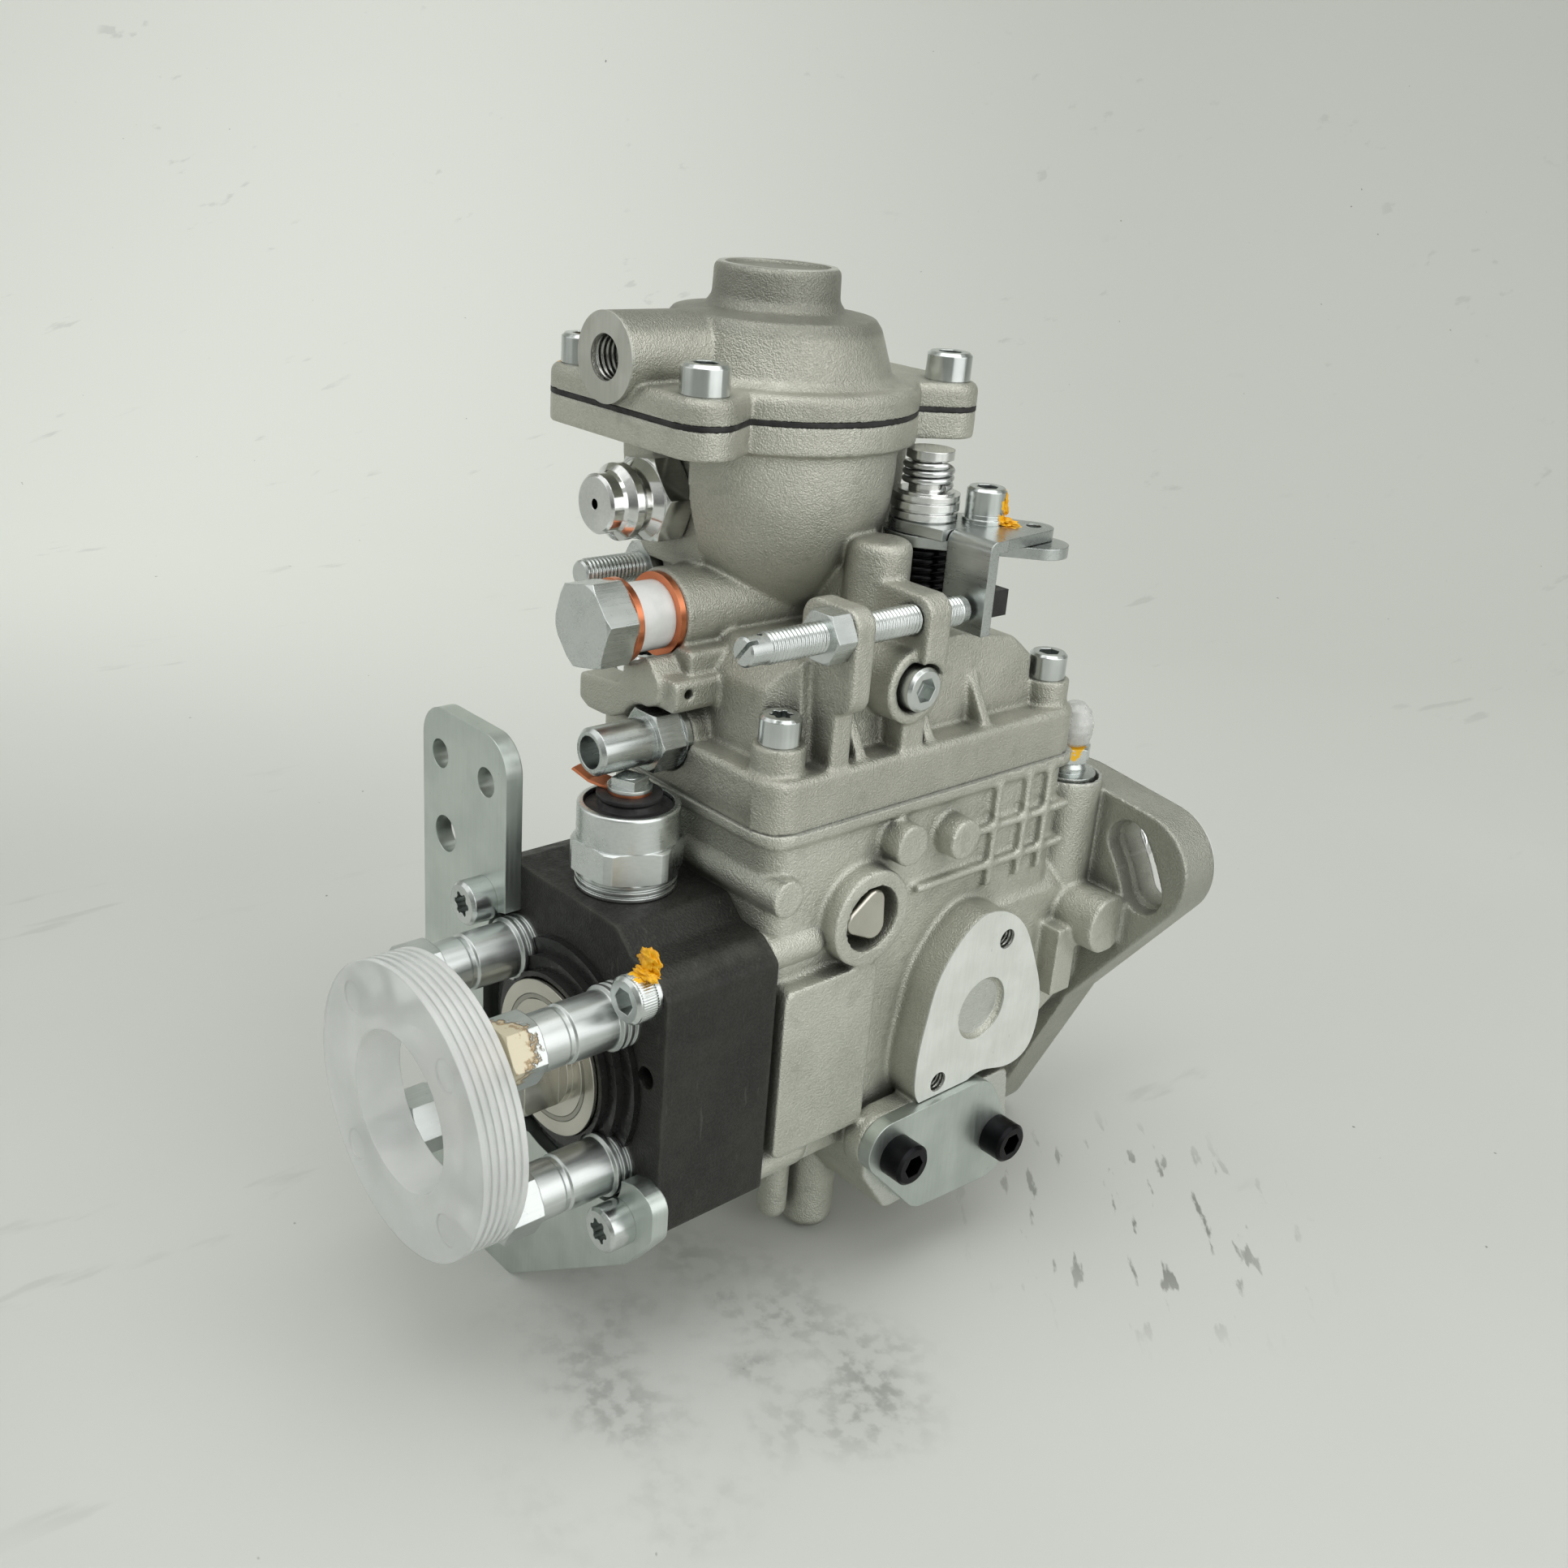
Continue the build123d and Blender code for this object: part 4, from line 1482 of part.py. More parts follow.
def inlet_fitting():
    """Fuel inlet fitting with a flat disc, a hexagon and a threaded spout."""
    profile = ((INLET_SHANK_R, INLET_SHANK_Z), (INLET_SHANK_R, INLET_WELL_Z), (INLET_DISC_R, INLET_WELL_Z),
               (INLET_DISC_R, INLET_DISC_Z), (INLET_COLLAR_R, INLET_DISC_Z + PART_GAP),
               (INLET_COLLAR_R, middle_of(INLET_DISC_Z, INLET_HEX_Z[0])), (INLET_NECK_R, INLET_HEX_Z[0]),
               (INLET_SPOUT_R, INLET_HEX_Z[0]), (INLET_SPOUT_R, INLET_SPOUT_Z))
    fitting = turned("Z", profile, INLET_AXIS) + hex_nut("Z", INLET_HEX, *INLET_HEX_Z, INLET_AXIS)
    return fitting - rod("Z", INLET_BORE_R, INLET_HEX_Z[0], INLET_SPOUT_Z + OVERRUN, INLET_AXIS)


def inlet_cap():
    """Soft plastic cap pushed over the inlet spout."""
    bore = rod("Z", INLET_CAP_BORE_R, INLET_HEX_Z[1], INLET_CAP_BORE_Z, INLET_AXIS)
    return turned("Z", INLET_CAP_PROFILE, INLET_AXIS) - bore


# Assembly

def screws_of_lid():
    """Four screws of the boost lid."""
    seat = LID_Z + LID_FLANGE_T
    return [cap_screw("Z", seat, 1, spot, LID_SCREW_HEAD_R, LID_SCREW_HEAD, LID_SCREW_SHANK_R,
                      LID_SCREW_SHANK)
            for spot in LID_SCREWS]


def screws_of_cover(spots, socket):
    """Two screws of the governor cover."""
    return [cap_screw("Z", SCREW_SEAT_Z, 1, spot, COVER_SCREW_HEAD_R, COVER_SCREW_HEAD, COVER_SCREW_SHANK_R,
                      COVER_SCREW_SHANK, socket) for spot in spots]


def screws_of_head(spots, seat, socket):
    """Screws that hold the head, or the head and the bracket."""
    return [cap_screw("Y", seat, -1, spot, HEAD_SCREW_R, HEAD_SCREW_HEAD, HEAD_SCREW_SHANK_R,
                      HEAD_SCREW_SHANK - seat - OVERRUN, socket) for spot in spots]


def side_screw():
    """Socket screw sunk in the round boss on the side of the cover."""
    seat = SIDE_SCREW_X - COVER_SCREW_HEAD
    return cap_screw("X", seat, 1, SIDE_BOSS_AXIS, SIDE_SCREW_HEAD_R, COVER_SCREW_HEAD, COVER_SCREW_SHANK_R,
                     seat - SIDE_POCKET_X)


def shaft_seal():
    """Radial shaft seal in the pilot."""
    end = FLANGE_SEAT_Y + PILOT_LENGTH
    return ring("Y", SEAL_R, SHAFT_R + RUN_CLEAR, end - SEAL_DEPTH, end, (0, 0))


def governor_shaft():
    """Fixed pin that the flyweight cage turns on."""
    return rod("Y", GOVERNOR_SHAFT_R, *GOVERNOR_SHAFT_Y, GOVERNOR_AXIS)


def all_nodes():
    """Every named node with its list of solids."""
    spots = holder_spots()
    nodes = {
        "pump_housing": [housing()],
        "distributor_head": [distributor_head()],
        "central_plug": [central_plug()],
        "delivery_valve_holders": [valve_holder(spot) for spot in spots],
        "delivery_valves": [delivery_valve(spot) for spot in spots],
        "delivery_valve_springs": [valve_spring(spot) for spot in spots],
        "transport_cap": [transport_cap()],
        "mounting_bracket": [mounting_bracket()],
        "head_screws": screws_of_head(BRACKET_SCREW_SPOTS, -BRACKET_T, "star") + screws_of_head(
            [(HEAD_SCREW_OFFSET, HEAD_SCREW_OFFSET)], 0, "hex"),
        "solenoid_body": [solenoid_body()],
        "solenoid_boot": [solenoid_boot()],
        "solenoid_terminal": [terminal()],
        "terminal_clip": [terminal_clip()],
        "solenoid_armature": [solenoid_armature()],
        "governor_cover": [governor_cover()],
        "cover_screws": screws_of_cover(COVER_SCREWS_FRONT, "star") + screws_of_cover(COVER_SCREWS_REAR,
                                                                                      "hex") + [
            side_screw()],
        "boost_lid": [boost_lid()],
        "boost_lid_screws": screws_of_lid(),
        "boost_diaphragm": [diaphragm()],
        "boost_pin": [boost_pin()],
        "boost_spring": [coil("Z", BOOST_SPRING_R, BOOST_SPRING_WIRE, *BOOST_SPRING_Z, CUP_AXIS,
                              SPRING_TURNS)],
        "boost_fitting": [boost_fitting()],
        "banjo_bolt": [banjo_bolt()],
        "banjo_washers": banjo_washers(),
        "banjo_sleeve": [banjo_sleeve()],
        "return_fitting": [return_fitting()],
        "adjusting_screws": [full_load_screw(), stop_screw()],
        "lock_nuts": [lock_nut(FULL_LOAD_SEAT_Y, FULL_LOAD_AXIS), lock_nut(LUG_FRONT_Y[0], STOP_AXIS)],
        "side_plug": [side_plug()],
        "inlet_fitting": [inlet_fitting()],
        "inlet_cap": [inlet_cap()],
        "timing_covers": [timing_cover(-1), timing_cover(1)],
        "timing_cover_screws": [timing_screw(side, spot) for side in (-1, 1) for spot in TIMING_SCREWS],
        "timing_piston": [timing_piston()],
        "timing_spring": [coil("X", PISTON_SPRING_R, PISTON_SPRING_WIRE, *PISTON_SPRING_X, TIMING_AXIS,
                               SPRING_TURNS)],
        "throttle_shaft": [throttle_shaft()],
        "bent_lever": [bent_lever()],
        "lower_lever": [lower_lever()],
        "clamp_screw": [clamp_screw()],
        "clamp_washers": clamp_washers(),
        "stop_bumper": [stop_bumper()],
        "throttle_springs": [
            coil("Z", TOP_SPRING_R, TOP_SPRING_WIRE, *TOP_SPRING_Z, SHAFT_BOSS_AXIS, TOP_SPRING_TURNS),
            coil("Z", RETURN_SPRING_R, RETURN_SPRING_WIRE, *RETURN_SPRING_Z, SHAFT_BOSS_AXIS,
                 RETURN_SPRING_TURNS)],
        "drive_shaft": [drive_shaft()],
        "shaft_key": [shaft_key()],
        "shaft_seal": [shaft_seal()],
        "governor_drive_gear": [toothed_disc(DRIVE_GEAR_R, DRIVE_TEETH, SHAFT_R, GEAR_Y, (0, 0))],
        "vane_rotor": [vane_rotor()],
        "vanes": [vane_block(i, VANE_T / 2 - SLIDE_CLEAR, VANE_TIP_R) for i in range(VANE_COUNT)],
        "vane_pump_ring": [vane_pump_ring()],
        "roller_ring": [roller_ring()],
        "cam_rollers": [roller(i, ROLLER_R) for i in range(ROLLER_COUNT)],
        "cam_plate": [cam_plate()],
        "plunger": [plunger()],
        "plunger_spring": [coil("Y", PLUNGER_SPRING_R, PLUNGER_SPRING_WIRE, *PLUNGER_SPRING_Y, (0, 0),
                                SPRING_TURNS)],
        "control_spool": [control_spool()],
        "governor_lever": [governor_lever()],
        "governor_shaft": [governor_shaft()],
        "flyweight_cage": [flyweight_cage()],
        "flyweights": flyweights(),
        "governor_sleeve": [governor_sleeve()],
    }
    return nodes


def single_solids(shapes):
    """Each shape as one or more plain solids, set on the flange origin."""
    placed = []
    for shape in shapes:
        for solid in shape.solids():
            placed.append(Pos(0, -FLANGE_SEAT_Y, 0) * solid)
    return placed


os.makedirs("parts", exist_ok=True)
for name, shapes in all_nodes().items():
    export_step(Compound(children=single_solids(shapes)), f"parts/{name}.step")
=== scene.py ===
import math

import bmesh
import bpy
import numpy as np
from mathutils import Matrix, Vector, noise


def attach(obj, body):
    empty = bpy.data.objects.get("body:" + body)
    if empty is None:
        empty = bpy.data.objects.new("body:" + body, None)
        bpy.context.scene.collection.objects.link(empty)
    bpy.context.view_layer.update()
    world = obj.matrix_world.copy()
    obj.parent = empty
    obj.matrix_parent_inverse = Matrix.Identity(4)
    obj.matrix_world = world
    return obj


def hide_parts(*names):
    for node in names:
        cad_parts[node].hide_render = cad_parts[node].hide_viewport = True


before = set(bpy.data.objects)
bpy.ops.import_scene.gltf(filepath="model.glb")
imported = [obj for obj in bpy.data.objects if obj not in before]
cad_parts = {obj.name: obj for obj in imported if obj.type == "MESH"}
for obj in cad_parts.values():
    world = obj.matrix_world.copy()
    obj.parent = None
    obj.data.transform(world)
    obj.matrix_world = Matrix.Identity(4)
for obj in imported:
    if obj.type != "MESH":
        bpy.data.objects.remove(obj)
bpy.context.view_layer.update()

# The frame is in metres, and the places and sizes in this script are in millimetres where nothing
# else is said. The pump's axis runs along Y, and the flange seat is at y = 0.
MM = 0.001
X, Y, Z = range(3)

# Places on the model.
FLOOR_Z = -67.0
HEAD_FRONT_Y = -148.0
HEAD_BACK_Y = -119.0
HEAD_SCREW_OFFSET = 26.3
HEAD_RECESS_R = 25.6
HEAD_RECESS_DEPTH = 5.6
FLANGE_FRONT_Y = -12.0
FLANGE_SEAT_Y = 0.0
SIDE_FACE_X = 38.0
SIDE_PAD_X = 36.5
SIDE_HOLES = ((-51.5, 14.8), (-70.0, -17.2))
PLUG_BOSS_AXIS = (-93.7, 30.3)
INLET_AXIS = (22.4, -16.7)
INLET_SEAT_Z = 44.0
HOUSING_TOP_Z = 54.0
COVER_BASE_Z = 54.3
COVER_FRONT_Y = -110.5
CUP_RIM_Z = 130.5
THROTTLE_AXIS = (9.5, -64.6)
STOP_SCREW_AXIS = (28.0, 94.2)
FULL_LOAD_AXIS = (-32.6, 93.4)
LID_BASE_Z = 131.5
LID_PORT_Y = -129.2
LID_PORT_AXIS = (-20.5, 140.8)
KNOB_BASE_Z = 147.5
KNOB_TOP_Z = 158.6
SPRING_SPLIT_Z = 105.2
PUMP_AXIS = (0.0, 0.0)

# The camera of the photograph. Its angles are in degrees.
CAMERA_PLACE = (243.2, -323.0, 186.5)
CAMERA_AZIMUTH = 46.32
CAMERA_ELEVATION = 22.26
CAMERA_ROLL = 4.67
CAMERA_SENSOR = 36.0
CAMERA_LENS = 1993.7 / 1932 * CAMERA_SENSOR

# The sweep, in metres: where its floor ends and starts to curve up, and the radius of that curve.
SWEEP_BEND_START = 0.45
SWEEP_BEND_R = 0.5
SWEEP_COLUMNS = (-2.0, -1.0, -0.4, 0.0, 0.4, 1.0, 2.0)

# Soft boxes: place and size in metres, and power in watts.
LAMP_TARGET = (0.0, -0.07, 0.03)
LAMPS = {
    "top_box": ((0.1, -0.1, 0.95), (1.0, 0.8), 4.6),
    "left_box": ((-0.5, -0.85, 0.5), (0.85, 1.1), 1.9),
    "right_box": ((0.95, 0.05, 0.42), (1.3, 1.0), 5.9),
}
ROOM_COLOUR = (228, 230, 226)
ROOM_LOW_STRENGTH = 0.24
ROOM_HIGH_STRENGTH = 0.76

# Colours, as screen numbers from 0 to 255.
CAST_PALE = (198, 199, 188)
CAST_DARK = (182, 183, 172)
COVER_PALE = (188, 188, 177)
COVER_DARK = (172, 172, 161)
LID_PALE = (178, 178, 167)
LID_DARK = (160, 160, 149)
WORN_ALLOY = (214, 215, 208)
ZINC_PALE = (212, 216, 214)
ZINC_DARK = (190, 195, 193)
BRIGHT_PALE = (232, 233, 231)
BRIGHT_DARK = (206, 208, 206)
PLAIN_PALE = (176, 176, 172)
PLAIN_DARK = (150, 150, 146)
PAINT = (240, 184, 26)
CAST_METALLIC = 0.82

# Faces of the castings that are cut bright: axis, place along it, and half the depth that counts.
HOUSING_CUTS = [(X, SIDE_FACE_X, 0.3), (Y, FLANGE_SEAT_Y, 0.3), (Z, HOUSING_TOP_Z),
                (X, SIDE_PAD_X), (X, -SIDE_PAD_X), (Z, INLET_SEAT_Z)]
COVER_CUTS = [(Z, COVER_BASE_Z, 0.4)]
LID_CUTS = [(Z, KNOB_TOP_Z, 0.4), (Y, LID_PORT_Y, 0.4)]

# Parts of a casting darkened as painted shade: axis, where the shade starts, where it is full, and
# how much.
FLANGE_PAINTED_SHADE = (Y, FLANGE_FRONT_Y - 2.0, FLANGE_FRONT_Y - 0.3, 0.35)
KNOB_PAINTED_SHADE = (Z, KNOB_BASE_Z - 2.0, KNOB_BASE_Z, 0.4)

# Paint and sealant in the materials: the centre of a blob, and its radius.
HEAD_PAINT = ((27.4, -149.5, 34.0), 3.6)
SCREW_PAINT = ((26.6, -150.2, 31.6), 2.5)
LID_PAINT = ((-43.5, -121.4, 138.5), 3.4)
LEVER_PAINTS = [((22.2, -53.1, 113.5), 1.9), ((22.9, -52.6, 109.8), 2.8)]
INLET_PAINT = ((24.0, -18.5, 51.5), 3.4)
HOLDER_SEALANT = ((20.5, -178.2, 20.0), 7.4)

# The grooved ring on the central plug, by its inner and outer radius.
PLUG_GROOVE = (12.8, 14.2)

# Marks on the floor: centre, and the distance at which they have faded out. The smears are scuffs
# and painted shadow near the object; the strokes are scuffs.
FLOOR_SCUFFS_AND_SHADOWS = [((10.0, -137.0, FLOOR_Z), 40.0), ((34.0, -128.0, FLOOR_Z), 45.0),
                ((58.0, -112.0, FLOOR_Z), 30.0), ((44.0, -158.0, FLOOR_Z), 40.0)]
FLOOR_STROKES = ((62.0, -14.0, FLOOR_Z), 55.0)


# Materials.
class Look:
    """A procedural material, with short ways to add and join its nodes."""

    def __init__(self, name, metallic, roughness):
        self.material = bpy.data.materials.new(name)
        self.material.use_nodes = True
        self.tree = self.material.node_tree
        self.shader = self.tree.nodes["Principled BSDF"]
        self.shader.inputs["Metallic"].default_value = metallic
        self.shader.inputs["Roughness"].default_value = roughness
        coordinates = self.tree.nodes.new("ShaderNodeTexCoord")
        self.point = coordinates.outputs["Object"]
        self.axes = self.add("ShaderNodeSeparateXYZ", {0: self.point}).outputs
        surface = self.tree.nodes.new("ShaderNodeNewGeometry")
        self.facing = self.add("ShaderNodeSeparateXYZ", {0: surface.outputs["Normal"]}).outputs
        self.normal = None

    def add(self, kind, values=None, **settings):
        """Adds a node. A value that is a socket is linked, and any other is set."""
        node = self.tree.nodes.new(kind)
        for name, setting in settings.items():
            setattr(node, name, setting)
        for key, value in (values or {}).items():
            if isinstance(value, bpy.types.NodeSocket):
                self.tree.links.new(value, node.inputs[key])
            else:
                node.inputs[key].default_value = value
        return node

    def math(self, operation, first, second=0.0):
        return self.add("ShaderNodeMath", {0: first, 1: second}, operation=operation).outputs[0]

    def plus(self, first, second):
        return self.math("ADD", first, second)

    def minus(self, first, second):
        return self.math("SUBTRACT", first, second)

    def times(self, first, second):
        return self.math("MULTIPLY", first, second)

    def rest(self, share):
        return self.minus(1.0, share)

    def most(self, shares):
        """The largest of several shares."""
        result = shares[0]
        for share in shares[1:]:
            result = self.math("MAXIMUM", result, share)
        return result

    def step(self, value, low, high, start=0.0, end=1.0):
        """Goes from start to end as value goes from low to high."""
        values = {0: value, 1: low, 2: high, 3: start, 4: end}
        return self.add("ShaderNodeMapRange", values, interpolation_type="SMOOTHSTEP").outputs[0]

    def along(self, axis, low, high, start=0.0, end=1.0):
        """Goes from start to end between two places along an axis."""
        return self.step(self.axes[axis], low * MM, high * MM, start, end)

    def noise(self, size, detail=3.0, stretch=None, point=None):
        """Noise from about 0.3 to 0.7, with lumps of about this size."""
        if point is None:
            point = self.point
        if stretch:
            values = {0: point, 1: stretch}
            point = self.add("ShaderNodeVectorMath", values, operation="MULTIPLY").outputs[0]
        values = {"Vector": point, "Scale": 1 / (size * MM), "Detail": detail}
        return self.add("ShaderNodeTexNoise", values).outputs[0]

    def blend(self, share, first, second):
        """A colour between two colours."""
        values = {0: share, 6: colour_value(first), 7: colour_value(second)}
        return self.add("ShaderNodeMix", values, data_type="RGBA").outputs[2]

    def distance(self, centre):
        """The distance from a point, in metres."""
        values = {0: self.point, 1: Vector(centre) * MM}
        return self.add("ShaderNodeVectorMath", values, operation="DISTANCE").outputs[1]

    def off_axis(self):
        """The distance from the pump's axis, in metres."""
        x, z = self.axes[X], self.axes[Z]
        return self.math("SQRT", self.plus(self.times(x, x), self.times(z, z)))

    def fading(self, centre, reach):
        """1 at a point, and down to 0 at a distance from it."""
        return self.step(self.distance(centre), reach * MM, reach * 0.25 * MM)

    def near(self, centre, radius, ragged=0.9):
        """1 inside a ragged blob about a point, and 0 outside."""
        distance = self.distance(centre)
        edge = self.times(self.minus(self.noise(1.4, 4.0), 0.5), ragged * 6 * MM)
        return self.step(self.plus(distance, edge), radius * MM, radius * 0.85 * MM)

    def slab(self, axis, place, half=0.12):
        """1 on a flat face at a place along an axis, and 0 off it."""
        off = self.math("ABSOLUTE", self.minus(self.axes[axis], place * MM))
        square_on = self.step(self.math("ABSOLUTE", self.facing[axis]), 0.8, 0.95)
        return self.times(self.step(off, half * MM, half * 0.6 * MM), square_on)

    def hollows(self, reach):
        """1 deep in a hollow, and 0 in the open: the mask for painted shade in hollows."""
        node = self.add("ShaderNodeAmbientOcclusion", {"Distance": reach * MM}, samples=6)
        return self.step(node.outputs["AO"], 0.85, 0.35)

    def edges(self, reach):
        """1 on a corner that stands out, and 0 on a flat or hollow face."""
        values = {"Distance": reach * MM}
        node = self.add("ShaderNodeAmbientOcclusion", values, samples=5, inside=True)
        return self.step(node.outputs["AO"], 0.72, 0.4)

    def round_edges(self, radius, share=None):
        """Softens corners, in proportion to a share where one is given."""
        reach = radius * MM if share is None else self.times(share, radius * MM)
        self.normal = self.add("ShaderNodeBevel", {"Radius": reach}, samples=6).outputs[0]

    def bump(self, height, distance):
        """Raises the surface by height times distance, over any bump before it."""
        values = {"Height": height, "Distance": distance * MM, "Strength": 1.0}
        if self.normal:
            values["Normal"] = self.normal
        self.normal = self.add("ShaderNodeBump", values).outputs[0]

    def finish(self, colour, roughness=None, metallic=None):
        """Joins what varies to the shader, and gives the material."""
        inputs = {"Base Color": colour, "Roughness": roughness, "Metallic": metallic}
        for name, value in inputs.items():
            if isinstance(value, bpy.types.NodeSocket):
                self.tree.links.new(value, self.shader.inputs[name])
        if self.normal:
            self.tree.links.new(self.normal, self.shader.inputs["Normal"])
        return self.material


def colour_value(colour):
    """A colour for a socket: sockets pass, and 0-255 screen numbers become linear ones."""
    if isinstance(colour, bpy.types.NodeSocket):
        return colour
    return tuple(linear(part / 255) for part in colour) + (1.0,)


def linear(value):
    return value / 12.92 if value <= 0.04045 else ((value + 0.055) / 1.055) ** 2.4


def dimmed(colour, share):
    return tuple(part * share for part in colour)


def cast_metal(name, pale, dark, machined=(), paint=(), shaded=None):
    """Sand-cast light alloy: fine grain, cloudy tone, worn corners, painted shade in hollows and in
    given parts, bright cuts.
    """
    look = Look(name, CAST_METALLIC, 0.42)
    grain = look.step(look.noise(0.36, 2.0), 0.32, 0.68)
    sand = look.step(look.noise(0.8), 0.32, 0.68)
    colour = look.blend(look.step(look.noise(20.0, 4.0), 0.34, 0.66), dark, pale)
    glint = tuple(min(255, part + 34) for part in pale)
    colour = look.blend(look.times(grain, 0.26), colour, glint)
    stains = look.step(look.noise(5.0, 5.0), 0.56, 0.7, 0.0, 0.28)
    colour = look.blend(stains, colour, dimmed(dark, 0.84))
    # Painted shade: the given part of the casting is darkened.
    if shaded:
        axis, low, high, amount = shaded
        colour = look.blend(look.along(axis, low, high, 0.0, amount), colour, dimmed(dark, 0.5))
    # Painted shade: hollows darkened from ambient occlusion.
    colour = look.blend(look.times(look.hollows(6.0), 0.7), colour, dimmed(dark, 0.5))
    colour = look.blend(look.times(look.edges(1.6), 0.4), colour, WORN_ALLOY)
    rough = look.step(look.noise(4.0, 4.0), 0.3, 0.7, 0.37, 0.48)
    cast = 1.0
    if machined:
        cut = look.most([look.slab(*face) for face in machined])
        lines = look.noise(0.9, 2.0, (1.0, 1.0, 14.0))
        bright = look.blend(look.step(lines, 0.3, 0.7), (190, 192, 186), (214, 216, 211))
        colour = look.blend(cut, colour, bright)
        rough = look.minus(rough, look.times(cut, 0.12))
        cast = look.rest(look.times(cut, 0.92))
    metal = CAST_METALLIC
    for centre, radius in paint:
        blob = look.near(centre, radius)
        colour = look.blend(blob, colour, PAINT)
        metal = look.minus(metal, look.times(blob, CAST_METALLIC))
    look.bump(look.times(sand, cast), 0.04)
    look.bump(look.times(grain, cast), 0.08)
    return look.finish(colour, rough, metal)


def steel(name, pale, dark, roughness=0.3, brushed=None, paint=(), black_below=None,
          sealant=None, groove=None, edge=0.3):
    """Turned, ground or plated steel: fine marks along one axis, small tone changes, soft edges."""
    look = Look(name, 1.0, roughness)
    marks = look.step(look.noise(0.7, 1.5, brushed or (1.0, 1.0, 1.0)), 0.3, 0.7)
    clouds = look.step(look.noise(12.0), 0.34, 0.66)
    share = 0.3 if brushed else 0.1
    tone = look.plus(look.times(clouds, 1 - share), look.times(marks, share))
    colour = look.blend(tone, dark, pale)
    specks = look.step(look.noise(1.1, 4.0), 0.68, 0.74, 0.0, 0.3)
    colour = look.blend(specks, colour, dimmed(dark, 0.8))
    rough = look.plus(look.step(marks, 0.0, 1.0, roughness * 0.92, roughness * 1.04),
                      look.times(clouds, roughness * 0.15))
    metal = None
    if black_below is not None:
        low = look.along(Z, black_below + 0.2, black_below - 0.2)
        colour = look.blend(low, colour, (26, 26, 27))
    for centre, radius in paint:
        blob = look.near(centre, radius)
        colour = look.blend(blob, colour, PAINT)
        rough = look.plus(rough, look.times(blob, 0.2))
        metal = look.rest(blob) if metal is None else look.times(metal, look.rest(blob))
    look.round_edges(edge)
    if sealant:
        centre, radius = sealant
        film = look.near(centre, radius, 1.2)
        rim = look.times(film, look.rest(look.near(centre, radius * 0.86, 1.2)))
        colour = look.blend(look.times(film, 0.75), colour, (205, 192, 158))
        colour = look.blend(look.times(rim, 0.7), colour, (148, 116, 72))
        metal = look.rest(look.times(film, 0.7))
        look.bump(film, 0.3)
    if groove:
        inner, outer = groove
        radius = look.off_axis()
        ring = look.times(look.step(radius, inner * MM, (inner + 0.3) * MM),
                          look.step(radius, outer * MM, (outer - 0.3) * MM))
        colour = look.blend(look.times(ring, 0.5), colour, dimmed(dark, 0.5))
        look.bump(ring, -0.6)
    return look.finish(colour, rough, metal)


def rubber(name, pale, dark, roughness=0.55):
    """Moulded black rubber or hard plastic: fine grain and a dusty tone."""
    look = Look(name, 0.0, roughness)
    dust = look.step(look.noise(4.0, 5.0), 0.4, 0.7)
    colour = look.blend(dust, dark, pale)
    rough = look.step(look.noise(1.5), 0.3, 0.7, roughness * 0.85, roughness * 1.2)
    look.round_edges(0.4)
    look.bump(look.noise(0.5), 0.04)
    return look.finish(colour, rough)


def plastic(name, pale, dark, roughness, see_through):
    """Natural nylon or polythene: milky, waxy and a little uneven."""
    look = Look(name, 0.0, roughness)
    look.shader.inputs["Transmission Weight"].default_value = see_through
    look.shader.inputs["Subsurface Weight"].default_value = 0.35
    look.shader.inputs["Subsurface Radius"].default_value = (0.004, 0.004, 0.004)
    look.shader.inputs["IOR"].default_value = 1.45
    cloud = look.step(look.noise(6.0, 4.0), 0.35, 0.68)
    colour = look.blend(cloud, dark, pale)
    rough = look.step(look.noise(2.0), 0.3, 0.7, roughness * 0.8, roughness * 1.25)
    look.round_edges(0.4)
    look.bump(look.noise(1.2), 0.03)
    return look.finish(colour, rough)


def black_casting(name):
    """The head: oiled black iron, sandy all over, with glossy turned steps round the plug."""
    look = Look(name, 0.2, 0.55)
    grit = look.step(look.noise(0.55), 0.38, 0.64)
    colour = look.blend(look.step(look.noise(14.0, 5.0), 0.35, 0.68), (25, 25, 22), (37, 37, 33))
    colour = look.blend(look.times(grit, 0.26), colour, (66, 65, 60))
    recess_floor_y = HEAD_FRONT_Y + HEAD_RECESS_DEPTH
    front = look.along(Y, recess_floor_y, recess_floor_y - 0.4)
    inside = look.step(look.off_axis(), HEAD_RECESS_R * MM, (HEAD_RECESS_R - 0.3) * MM)
    turned = look.times(inside, front)
    cast = look.rest(turned)
    worn = look.times(look.edges(2.2), look.step(look.noise(6.0, 4.0), 0.4, 0.6, 0.1, 0.35))
    colour = look.blend(look.times(worn, cast), colour, (104, 103, 95))
    scratch = look.step(look.noise(1.2, 4.0, (1.0, 1.0, 0.12)), 0.66, 0.7, 0.0, 0.3)
    colour = look.blend(scratch, colour, (92, 92, 86))
    colour = look.blend(turned, colour, (36, 36, 35))
    colour = look.blend(look.near(*HEAD_PAINT), colour, PAINT)
    rough = look.minus(look.step(look.noise(3.0, 4.0), 0.3, 0.7, 0.48, 0.64),
                       look.times(turned, 0.28))
    look.round_edges(0.8, cast)
    look.bump(look.times(grit, cast), 0.06)
    return look.finish(colour, rough)


